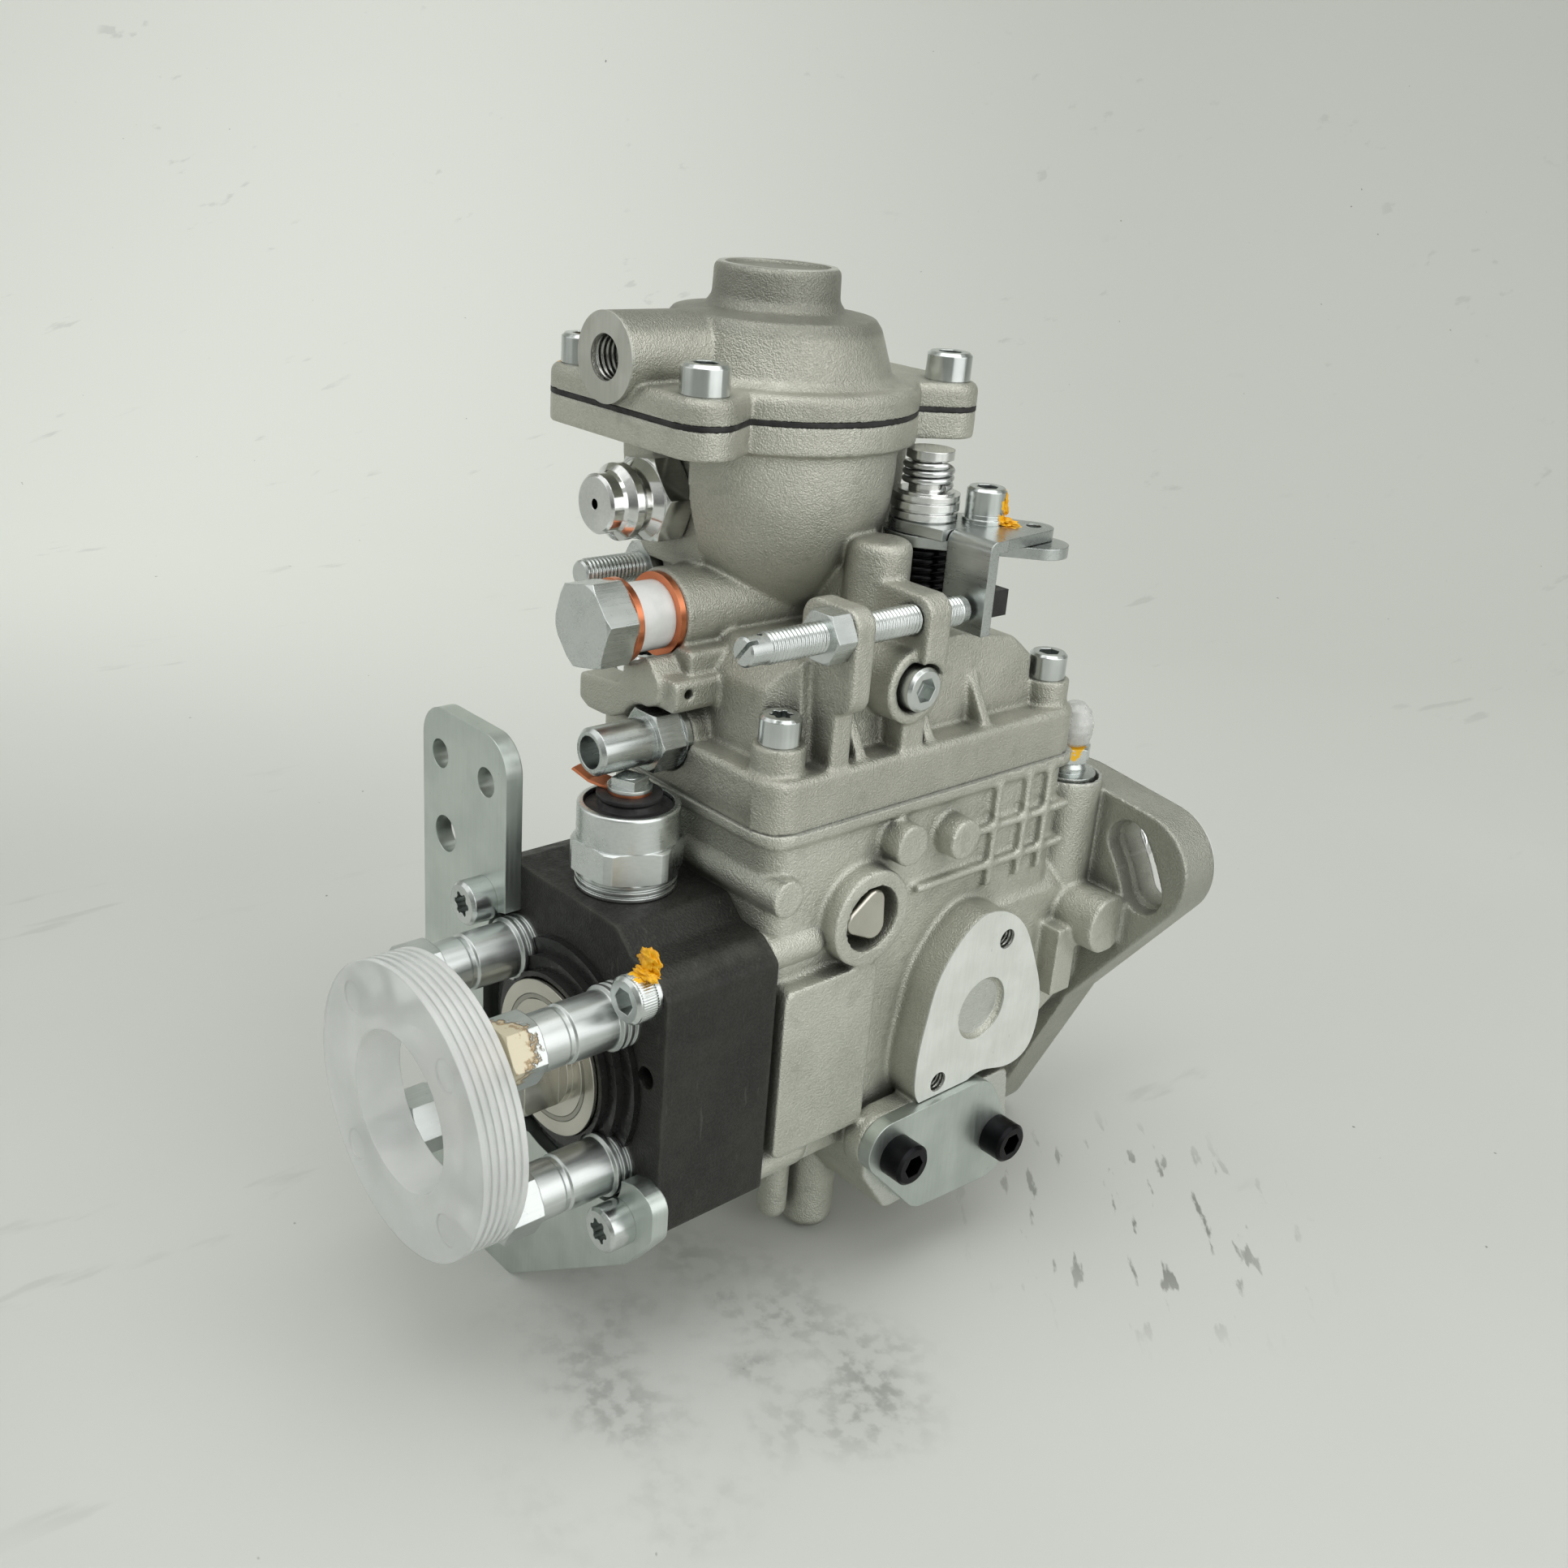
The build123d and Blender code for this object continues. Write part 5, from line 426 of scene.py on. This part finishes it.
def cap_plastic(name):
    """The shipping cap: frosted plastic that shows what lies behind it as a blur."""
    look = Look(name, 0.0, 0.3)
    look.shader.inputs["Transmission Weight"].default_value = 0.58
    look.shader.inputs["Subsurface Weight"].default_value = 0.15
    look.shader.inputs["Subsurface Radius"].default_value = (0.006, 0.006, 0.006)
    look.shader.inputs["IOR"].default_value = 1.2
    cloud = look.step(look.noise(9.0, 4.0), 0.35, 0.68)
    colour = look.blend(cloud, (244, 246, 244), (254, 255, 254))
    rough = look.step(look.noise(3.0), 0.3, 0.7, 0.3, 0.38)
    look.round_edges(0.5)
    return look.finish(colour, rough)


def cut_metal(name, pale, dark):
    """Light alloy milled flat: pale and bright, with fine tool lines and small dents."""
    look = Look(name, 0.62, 0.42)
    lines = look.step(look.noise(0.6, 2.0, (1.0, 1.0, 0.08)), 0.3, 0.7)
    clouds = look.step(look.noise(9.0, 4.0), 0.35, 0.68)
    tone = look.plus(look.times(lines, 0.35), look.times(clouds, 0.65))
    colour = look.blend(tone, dark, pale)
    dents = look.step(look.noise(1.6, 4.0), 0.7, 0.76, 0.0, 0.35)
    colour = look.blend(dents, colour, dimmed(dark, 0.7))
    rough = look.step(lines, 0.0, 1.0, 0.38, 0.46)
    return look.finish(colour, rough)


def paint_look():
    """Yellow marking paint, thick and a little glossy."""
    look = Look("marking_paint", 0.0, 0.35)
    colour = look.blend(look.step(look.noise(1.1, 4.0), 0.35, 0.66), (224, 160, 10), PAINT)
    rough = look.step(look.noise(0.9), 0.3, 0.7, 0.26, 0.5)
    look.bump(look.noise(0.7), 0.08)
    return look.finish(colour, rough)


def floor_look():
    """The pale sweep, its backdrop painted lighter as painted light, with grey scuffs and painted
    shadow in front of the object and a few dark specks.
    """
    look = Look("sweep_paper", 0.0, 0.7)
    cloud = look.step(look.noise(350.0), 0.35, 0.68)
    ground = look.blend(cloud, (193, 195, 190), (200, 202, 197))
    x, y = look.axes[X], look.axes[Y]
    behind = look.minus(look.times(y, 0.69), look.times(x, 0.72))
    aside = look.plus(look.times(x, 0.69), look.times(y, 0.72))
    # Painted light: the backdrop is lighter than the floor, most of all towards one side.
    wall_painted_light = look.blend(look.step(aside, -0.5, 0.2), (240, 242, 236), (204, 206, 200))
    far = look.most([look.along(Z, -80.0, 250.0), look.step(behind, 0.02, 0.5)])
    colour = look.blend(far, ground, wall_painted_light)
    # Dark smears near the object: scuffs, and painted shadow under it.
    scuff_and_shadow = look.times(look.step(look.noise(30.0, 6.0), 0.36, 0.66),
                       look.step(look.noise(4.0, 5.0), 0.42, 0.62, 0.3, 1.0))
    scuff_and_shadow = look.times(scuff_and_shadow, look.most([look.fading(*zone) for zone in FLOOR_SCUFFS_AND_SHADOWS]))
    colour = look.blend(look.times(scuff_and_shadow, 0.55), colour, (98, 99, 94))
    values = {0: look.times(behind, 0.25), 1: aside}
    drawn = look.add("ShaderNodeCombineXYZ", values).outputs[0]
    strokes = look.step(look.noise(4.5, 4.0, point=drawn), 0.6, 0.66)
    strokes = look.times(strokes, look.fading(*FLOOR_STROKES))
    colour = look.blend(look.times(strokes, 0.8), colour, (104, 105, 100))
    faint = look.times(look.step(look.noise(12.0, 5.0, (1.0, 0.22, 1.0)), 0.64, 0.72),
                       look.step(look.noise(90.0, 2.0), 0.5, 0.6))
    colour = look.blend(look.times(faint, 0.2), colour, (140, 142, 136))
    specks = look.step(look.noise(4.5, 1.0), 0.82, 0.85)
    colour = look.blend(look.times(specks, 0.7), colour, (70, 70, 66))
    look.bump(look.noise(4.0), 0.04)
    return look.finish(colour)


def make_looks():
    """All the object's materials by name."""
    along_x, along_y, along_z = (0.06, 1.0, 1.0), (1.0, 0.06, 1.0), (1.0, 1.0, 0.06)
    zinc = {"pale": ZINC_PALE, "dark": ZINC_DARK}
    bright = {"pale": BRIGHT_PALE, "dark": BRIGHT_DARK}
    made = [
        cast_metal("housing_casting", CAST_PALE, CAST_DARK, HOUSING_CUTS, shaded=FLANGE_PAINTED_SHADE),
        cast_metal("cover_casting", COVER_PALE, COVER_DARK, COVER_CUTS),
        cast_metal("lid_casting", LID_PALE, LID_DARK, LID_CUTS, [LID_PAINT], KNOB_PAINTED_SHADE),
        black_casting("head_casting"),
        cast_metal("piston_alloy", (186, 187, 183), (172, 173, 169)),
        steel("zinc", roughness=0.26, brushed=along_y, **zinc),
        steel("holder_zinc", roughness=0.33, brushed=along_y, sealant=HOLDER_SEALANT, **zinc),
        steel("zinc_plate", (206, 213, 208), (190, 198, 193), 0.38, along_z),
        steel("zinc_screw", roughness=0.2, brushed=along_z, paint=[SCREW_PAINT, LID_PAINT], **zinc),
        steel("head_zinc", roughness=0.22, brushed=along_y, paint=[SCREW_PAINT], **zinc),
        steel("clamp_zinc", roughness=0.2, brushed=along_z, paint=LEVER_PAINTS, **zinc),
        steel("inlet_zinc", roughness=0.26, paint=[INLET_PAINT], **zinc),
        steel("screw_thread", roughness=0.26, edge=0.06, **zinc),
        steel("hole_thread", (176, 177, 172), (150, 151, 147), 0.22, edge=0.06),
        steel("turned_bright", roughness=0.12, brushed=along_y, **bright),
        steel("upright_bright", roughness=0.18, brushed=along_z, **bright),
        steel("nickel", (206, 203, 193), (192, 189, 179), 0.2, groove=PLUG_GROOVE),
        steel("ground", roughness=0.2, brushed=along_y, **bright),
        steel("plain", PLAIN_PALE, PLAIN_DARK, 0.38),
        steel("lever_plate", (202, 206, 204), (178, 183, 181), 0.28, along_x, LEVER_PAINTS),
        steel("black_steel", (40, 40, 42), (26, 26, 28), 0.34),
        steel("spring", (188, 190, 190), (150, 152, 152), 0.26),
        steel("throttle_spring", (214, 216, 215), (180, 182, 182), 0.2,
              black_below=SPRING_SPLIT_Z),
        steel("copper", (232, 148, 108), (206, 122, 86), 0.3, edge=0.15),
        rubber("rubber", (38, 38, 38), (16, 16, 16)),
        rubber("black_plastic", (30, 30, 30), (14, 14, 14), 0.4),
        plastic("white_plastic", (244, 245, 243), (228, 230, 227), 0.35, 0.1),
        plastic("milky_plastic", (240, 241, 238), (218, 220, 216), 0.28, 0.45),
        cap_plastic("cap_plastic"),
        paint_look(),
        cut_metal("cut_face", (236, 238, 234), (222, 224, 219)),
        cut_metal("dull_cut_face", (196, 197, 189), (176, 177, 168)),
    ]
    # Blender adds a dot and a number to the name of a material when that name is taken.
    return {material.name.split(".")[0]: material for material in made}


LOOKS_OF_NODES = {
    "housing_casting": ["pump_housing"],
    "cover_casting": ["governor_cover"],
    "lid_casting": ["boost_lid"],
    "head_casting": ["distributor_head"],
    "piston_alloy": ["timing_piston"],
    "zinc": ["banjo_bolt", "lock_nuts", "return_fitting", "solenoid_body", "solenoid_terminal"],
    "holder_zinc": ["delivery_valve_holders"],
    "zinc_plate": ["mounting_bracket", "timing_covers"],
    "zinc_screw": ["boost_lid_screws", "cover_screws"],
    "head_zinc": ["head_screws"],
    "clamp_zinc": ["clamp_screw", "clamp_washers"],
    "inlet_zinc": ["inlet_fitting"],
    "screw_thread": ["adjusting_screws"],
    "turned_bright": ["boost_fitting"],
    "upright_bright": ["throttle_shaft", "boost_pin", "governor_shaft"],
    "nickel": ["side_plug", "central_plug"],
    "ground": ["drive_shaft", "plunger", "control_spool", "governor_sleeve", "cam_plate",
               "cam_rollers", "roller_ring", "vane_pump_ring", "vane_rotor", "vanes",
               "delivery_valves"],
    "plain": ["flyweight_cage", "flyweights", "governor_drive_gear", "governor_lever", "shaft_key",
              "solenoid_armature"],
    "lever_plate": ["bent_lever", "lower_lever"],
    "black_steel": ["timing_cover_screws"],
    "spring": ["boost_spring", "delivery_valve_springs", "plunger_spring", "timing_spring"],
    "throttle_spring": ["throttle_springs"],
    "copper": ["banjo_washers", "terminal_clip"],
    "rubber": ["boost_diaphragm", "shaft_seal", "solenoid_boot"],
    "black_plastic": ["stop_bumper"],
    "white_plastic": ["banjo_sleeve"],
    "milky_plastic": ["inlet_cap"],
    "cap_plastic": ["transport_cap"],
}

# Castings whose corners are rounded: grid size, smoothing passes, most faces, and the flat faces
# and bores that stay crisp. A face is an axis and a place along it, and a bore is an axis, its
# place and a radius.
CASTINGS = {
    "pump_housing": (
        0.5, 12, 170000,
        [(X, SIDE_FACE_X), (Y, HEAD_BACK_Y), (Z, HOUSING_TOP_Z), (Y, FLANGE_SEAT_Y),
         (Z, INLET_SEAT_Z)],
        [(X, SIDE_HOLES[0], 3.2), (X, SIDE_HOLES[1], 3.2), (X, PLUG_BOSS_AXIS, 8.0),
         (Z, INLET_AXIS, 8.1)]),
    "governor_cover": (
        0.45, 12, 150000,
        [(Z, COVER_BASE_Z), (Z, CUP_RIM_Z), (Y, COVER_FRONT_Y)],
        [(Z, THROTTLE_AXIS, 8.0)]),
    "boost_lid": (
        0.4, 10, 90000,
        [(Z, LID_BASE_Z), (Y, LID_PORT_Y)],
        [(Y, LID_PORT_AXIS, 5.2)]),
}
CRISP_REACH = 0.35
FLAT_FACE_WEIGHT = 90


def rounded_casting(node, grid, passes, most_faces, faces, bores):
    """A copy of a cast node with soft cast corners. Its cut faces and bores keep their edges."""
    piece = bpy.data.objects.new(node + "_casting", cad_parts[node].data.copy())
    bpy.context.scene.collection.objects.link(piece)
    piece.modifiers.new("join", "WELD").merge_threshold = 1e-6
    fill = piece.modifiers.new("fill", "REMESH")
    fill.mode = "VOXEL"
    fill.voxel_size = grid * MM
    fill.use_smooth_shade = True
    bake_modifiers(piece)
    soft = piece.vertex_groups.new(name="soft")
    points = np.empty(len(piece.data.vertices) * 3, np.float32)
    piece.data.vertices.foreach_get("co", points)
    points = points.reshape(-1, 3) / MM
    crisp = np.zeros(len(points), bool)
    for axis, place in faces:
        crisp |= np.abs(points[:, axis] - place) < CRISP_REACH
    for axis, centre, radius in bores:
        across = np.delete(points, axis, axis=1) - np.array(centre)
        crisp |= np.hypot(across[:, 0], across[:, 1]) < radius
    soft.add(np.flatnonzero(~crisp).tolist(), 1.0, "REPLACE")
    smooth = piece.modifiers.new("soften", "SMOOTH")
    smooth.factor = 0.5
    smooth.iterations = passes
    smooth.vertex_group = "soft"
    thin = piece.modifiers.new("thin", "DECIMATE")
    thin.ratio = min(1.0, most_faces / (2 * len(piece.data.polygons)))
    bake_modifiers(piece)
    piece.vertex_groups.clear()
    piece.modifiers.new("flat faces", "WEIGHTED_NORMAL").weight = FLAT_FACE_WEIGHT
    bake_modifiers(piece)
    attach(piece, "pump_body")
    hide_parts(node)
    return piece


def bake_modifiers(piece):
    """Turns a piece's modifiers into its mesh."""
    shown = piece.evaluated_get(bpy.context.evaluated_depsgraph_get())
    mesh = bpy.data.meshes.new_from_object(shown)
    piece.modifiers.clear()
    old = piece.data
    piece.data = mesh
    bpy.data.meshes.remove(old)


def dress_nodes(looks):
    """Gives each node of the model its material, and each casting its rounded copy."""
    dressed = set()
    for look, names in LOOKS_OF_NODES.items():
        for name in names:
            dressed.add(name)
            if name in CASTINGS:
                piece = rounded_casting(name, *CASTINGS[name])
            else:
                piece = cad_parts[name]
            piece.data.materials.clear()
            piece.data.materials.append(looks[look])
    bare = sorted(set(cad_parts) - dressed)
    if bare:
        raise ValueError(f"these nodes have no material: {bare}")


# Small pieces. Screw threads: axis and its place, both ends, root and crest radius, pitch, look
# and body. Inside a hole, the crest is the smaller radius.
THREADS = {
    "stop_screw_thread":
        (Y, STOP_SCREW_AXIS, -126.4, -71.6, 2.9, 3.32, 1.0, "screw_thread", "pump_body"),
    "full_load_thread":
        (Y, FULL_LOAD_AXIS, -124.6, -104.2, 2.9, 3.32, 1.0, "screw_thread", "pump_body"),
    "lid_port_thread":
        (Y, LID_PORT_AXIS, -128.4, -116.0, 4.62, 4.1, 1.25, "hole_thread", "pump_body"),
    "side_hole_thread_0":
        (X, SIDE_HOLES[0], 27.0, 37.5, 2.52, 2.2, 0.9, "hole_thread", "pump_body"),
    "side_hole_thread_1":
        (X, SIDE_HOLES[1], 27.0, 37.5, 2.52, 2.2, 0.9, "hole_thread", "pump_body"),
    "drive_thread_ridges":
        (Y, PUMP_AXIS, 39.0, 53.4, 5.9, 6.25, 1.5, "ground", "drive_line"),
}
THREAD_BACK = 0.25
STEPS_PER_PITCH = 6

# Faces cut flat: casting, axis and place along it, how far the plate stands proud, and its look.
CUT_PLATES = {
    "side_cut_face": ("pump_housing", X, SIDE_FACE_X, 0.03, "cut_face"),
    "flange_cut_face": ("pump_housing", Y, FLANGE_SEAT_Y, 0.03, "cut_face"),
    "knob_cut_face": ("boost_lid", Z, KNOB_TOP_Z, 0.0, "dull_cut_face"),
    "lid_port_cut_face": ("boost_lid", Y, LID_PORT_Y, 0.03, "dull_cut_face"),
}
PLATE_DEPTH = 0.3

# Dabs of paint: centre, half sizes, a number that sets their shape, and the body they ride on.
DABS = {
    "head_paint": ((26.6, -148.5, 33.9), (3.3, 1.0, 2.3), 3.0, "pump_body"),
    "head_screw_paint": ((27.6, -149.6, 31.6), (2.9, 1.3, 0.9), 7.0, "pump_body"),
    "clamp_paint": ((22.0, -53.2, 113.2), (0.8, 0.8, 2.8), 5.0, "throttle"),
    "washer_paint": ((22.9, -52.8, 110.0), (2.3, 2.1, 0.8), 9.0, "throttle"),
}

# The bosses that cover the ends of the head screws, and the knurled head of one screw.
SCREW_BOSS_Y = (HEAD_BACK_Y + 0.1, -101.5)
SCREW_BOSS_R = 4.6
BOSS_CORE = 0.05
KNURL_Y = (-153.0, -149.0)
KNURL_ROOT = 4.98
KNURL_CREST = 5.14
KNURL_TEETH = 56


def object_from(name, mesh, look):
    """An object in the scene from a bmesh, smoothly shaded."""
    data = bpy.data.meshes.new(name)
    mesh.to_mesh(data)
    mesh.free()
    for face in data.polygons:
        face.use_smooth = True
    data.materials.append(look)
    piece = bpy.data.objects.new(name, data)
    bpy.context.scene.collection.objects.link(piece)
    return piece


def new_piece(name, mesh, look, body):
    """A piece from a bmesh, riding on a body."""
    bmesh.ops.recalc_face_normals(mesh, faces=mesh.faces)
    piece = object_from(name, mesh, look)
    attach(piece, body)
    return piece


def ringed_sleeve(axis, centre, low, high, back, steps, radius_at, around=48):
    """A closed sleeve along an axis. radius_at gives its outer radius by share of a turn and
    place along, and back is its inner radius."""
    mesh = bmesh.new()

    def ring(place, radii):
        verts = []
        for turn, radius in enumerate(radii):
            angle = math.tau * turn / around
            spot = [centre[0] + radius * math.cos(angle), centre[1] + radius * math.sin(angle)]
            spot.insert(axis, place)
            verts.append(mesh.verts.new(Vector(spot) * MM))
        return verts

    rings = [ring(low, [back] * around)]
    for step in range(steps + 1):
        place = low + (high - low) * step / steps
        rings.append(ring(place, [radius_at(turn / around, place) for turn in range(around)]))
    rings.append(ring(high, [back] * around))
    rings.append(rings[0])
    for one, other in zip(rings, rings[1:]):
        for turn in range(around):
            after = (turn + 1) % around
            mesh.faces.new((one[turn], one[after], other[after], other[turn]))
    return mesh


def make_thread(name, axis, centre, low, high, root, crest, pitch, look, body):
    """The ridges of a screw thread round a shank or inside a hole."""
    back = root - THREAD_BACK if crest > root else root + THREAD_BACK

    def radius_at(turn, place):
        share = (place / pitch - turn) % 1.0
        ridge = 1.0 - abs(2.0 * share - 1.0)
        ends = min(1.0, (place - low) / pitch, (high - place) / pitch)
        return root + (crest - root) * ridge * max(0.0, ends)

    steps = math.ceil((high - low) / pitch * STEPS_PER_PITCH)
    mesh = ringed_sleeve(axis, centre, low, high, back, steps, radius_at)
    new_piece(name, mesh, look, body)


def make_knurl(name, centre, look):
    """Straight knurling round a screw head."""
    low, high = KNURL_Y

    def radius_at(turn, place):
        ridge = 1.0 - abs(2.0 * (turn * KNURL_TEETH % 1.0) - 1.0)
        return KNURL_ROOT + (KNURL_CREST - KNURL_ROOT) * ridge * (low < place < high)

    mesh = ringed_sleeve(Y, centre, low, high, KNURL_ROOT - 0.3, 8, radius_at, KNURL_TEETH * 4)
    new_piece(name, mesh, look, "pump_body")


def make_boss(name, centre, look):
    """A cast boss along Y with a round end."""
    low, high = SCREW_BOSS_Y

    def radius_at(turn, place):
        past = max(0.0, (place - (high - SCREW_BOSS_R)) / SCREW_BOSS_R)
        return max(BOSS_CORE * 1.2, SCREW_BOSS_R * math.sqrt(1.0 - past ** 2))

    mesh = ringed_sleeve(Y, centre, low, high, BOSS_CORE, 32, radius_at)
    new_piece(name, mesh, look, "pump_body")


def make_cut_plate(name, node, axis, place, proud, look):
    """A thin plate with crisp edges over the faces of a casting that are cut flat."""
    mesh = bmesh.new()
    mesh.from_mesh(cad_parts[node].data)
    others = [face for face in mesh.faces if abs(face.normal[axis]) < 0.99
              or abs(face.calc_center_median()[axis] - place * MM) > 0.01 * MM]
    bmesh.ops.delete(mesh, geom=others, context="FACES")
    bmesh.ops.remove_doubles(mesh, verts=mesh.verts, dist=0.001 * MM)
    mesh.faces.ensure_lookup_table()
    outward = Vector((0, 0, 0))
    outward[axis] = math.copysign(1.0, mesh.faces[0].normal[axis])
    faces = mesh.faces[:]
    rims = [edge for edge in mesh.edges if edge.is_boundary]
    below = {vertex: mesh.verts.new(vertex.co - outward * PLATE_DEPTH * MM)
             for vertex in mesh.verts[:]}
    for vertex in below:
        vertex.co += outward * proud * MM
    for face in faces:
        mesh.faces.new([below[vertex] for vertex in reversed(face.verts)])
    for edge in rims:
        one, other = edge.verts
        mesh.faces.new((one, other, below[other], below[one]))
    piece = new_piece(name, mesh, look, "pump_body")
    for face in piece.data.polygons:
        face.use_smooth = False


def make_dab(name, centre, radii, seed, body, look):
    """A dab of paint: a ball pushed in and out by smooth noise."""
    mesh = bmesh.new()
    bmesh.ops.create_icosphere(mesh, subdivisions=5, radius=1.0)
    for vertex in mesh.verts:
        bend = noise.noise(vertex.co * 1.9 + Vector((seed, 0, 0))) * 0.6
        fine = noise.noise(vertex.co * 5.0 + Vector((0, seed, 0))) * 0.25
        reach = vertex.co * (1 + bend + fine)
        stretched = Vector(part * radius for part, radius in zip(reach, radii))
        vertex.co = (stretched + Vector(centre)) * MM
    new_piece(name, mesh, look, body)


def make_small_pieces(looks):
    """Bosses, cut faces, threads, knurling and dabs of paint."""
    offset = HEAD_SCREW_OFFSET
    for side, x in (("left", -offset), ("right", offset)):
        for level, z in (("low", -offset), ("high", offset)):
            make_boss(f"screw_boss_{side}_{level}", (x, z), looks["housing_casting"])
    for name, (node, axis, place, proud, look) in CUT_PLATES.items():
        make_cut_plate(name, node, axis, place, proud, looks[look])
    for name, (*sizes, look, body) in THREADS.items():
        make_thread(name, *sizes, looks[look], body)
    make_knurl("screw_knurl", (offset, offset), looks["head_zinc"])
    for name, dab in DABS.items():
        make_dab(name, *dab, looks["marking_paint"])


# Camera, floor and light.
def make_camera():
    azimuth = math.radians(CAMERA_AZIMUTH)
    elevation = math.radians(CAMERA_ELEVATION)
    roll = math.radians(CAMERA_ROLL)
    ahead = Vector((-math.sin(azimuth) * math.cos(elevation),
                    math.cos(azimuth) * math.cos(elevation), -math.sin(elevation)))
    level = ahead.cross(Vector((0, 0, 1))).normalized()
    upright = level.cross(ahead)
    right = math.cos(roll) * level + math.sin(roll) * upright
    top = -math.sin(roll) * level + math.cos(roll) * upright
    data = bpy.data.cameras.new("camera")
    data.lens = CAMERA_LENS
    data.sensor_width = CAMERA_SENSOR
    data.clip_start = 0.01
    data.clip_end = 20.0
    camera = bpy.data.objects.new("camera", data)
    bpy.context.scene.collection.objects.link(camera)
    turned = Matrix((right, top, -ahead)).transposed().to_4x4()
    camera.matrix_world = Matrix.Translation(Vector(CAMERA_PLACE) * MM) @ turned
    bpy.context.scene.camera = camera


def make_sweep():
    """A floor that runs up into a backdrop behind the object, as seen from the camera."""
    azimuth = math.radians(CAMERA_AZIMUTH)
    back = Vector((-math.sin(azimuth), math.cos(azimuth), 0))
    side = Vector((math.cos(azimuth), math.sin(azimuth), 0))
    start, bend = SWEEP_BEND_START, SWEEP_BEND_R
    rows = [(-1.6, 0.0), (-0.6, 0.0), (0.2, 0.0), (start, 0.0)]
    rows += [(start + bend * math.sin(turn), bend - bend * math.cos(turn))
             for turn in (math.radians(step) for step in range(9, 91, 9))]
    rows += [(start + bend, 1.2), (start + bend, 2.4)]
    mesh = bmesh.new()
    grid = [[mesh.verts.new(back * far + side * out + Vector((0, 0, FLOOR_Z * MM + high)))
             for out in SWEEP_COLUMNS] for far, high in rows]
    for near, far in zip(grid, grid[1:]):
        for one in range(len(SWEEP_COLUMNS) - 1):
            mesh.faces.new((near[one], near[one + 1], far[one + 1], far[one]))
    sweep = object_from("sweep", mesh, floor_look())


def make_lamp(name, place, size, power):
    data = bpy.data.lights.new(name, "AREA")
    data.shape = "RECTANGLE"
    data.size, data.size_y = size
    data.energy = power
    lamp = bpy.data.objects.new(name, data)
    lamp.location = Vector(place)
    lamp.rotation_mode = "QUATERNION"
    lamp.rotation_quaternion = (Vector(LAMP_TARGET) - Vector(place)).to_track_quat("-Z", "Y")
    bpy.context.scene.collection.objects.link(lamp)


def make_lights():
    """Soft boxes above and at both sides, in a pale room that is lighter above."""
    for name, lamp in LAMPS.items():
        make_lamp(name, *lamp)
    world = bpy.data.worlds.new("room")
    world.use_nodes = True
    bpy.context.scene.world = world
    nodes, links = world.node_tree.nodes, world.node_tree.links
    shade = nodes["Background"]
    shade.inputs["Color"].default_value = colour_value(ROOM_COLOUR)
    axes = nodes.new("ShaderNodeSeparateXYZ")
    links.new(nodes.new("ShaderNodeTexCoord").outputs["Generated"], axes.inputs[0])
    rise = nodes.new("ShaderNodeMapRange")
    rise.interpolation_type = "SMOOTHSTEP"
    links.new(axes.outputs[Z], rise.inputs["Value"])
    for name, value in (("From Min", -0.1), ("From Max", 0.75),
                        ("To Min", ROOM_LOW_STRENGTH), ("To Max", ROOM_HIGH_STRENGTH)):
        rise.inputs[name].default_value = value
    links.new(rise.outputs[0], shade.inputs["Strength"])


bpy.context.scene.view_settings.view_transform = "Standard"
make_camera()
make_sweep()
make_lights()
LOOKS = make_looks()
dress_nodes(LOOKS)
make_small_pieces(LOOKS)
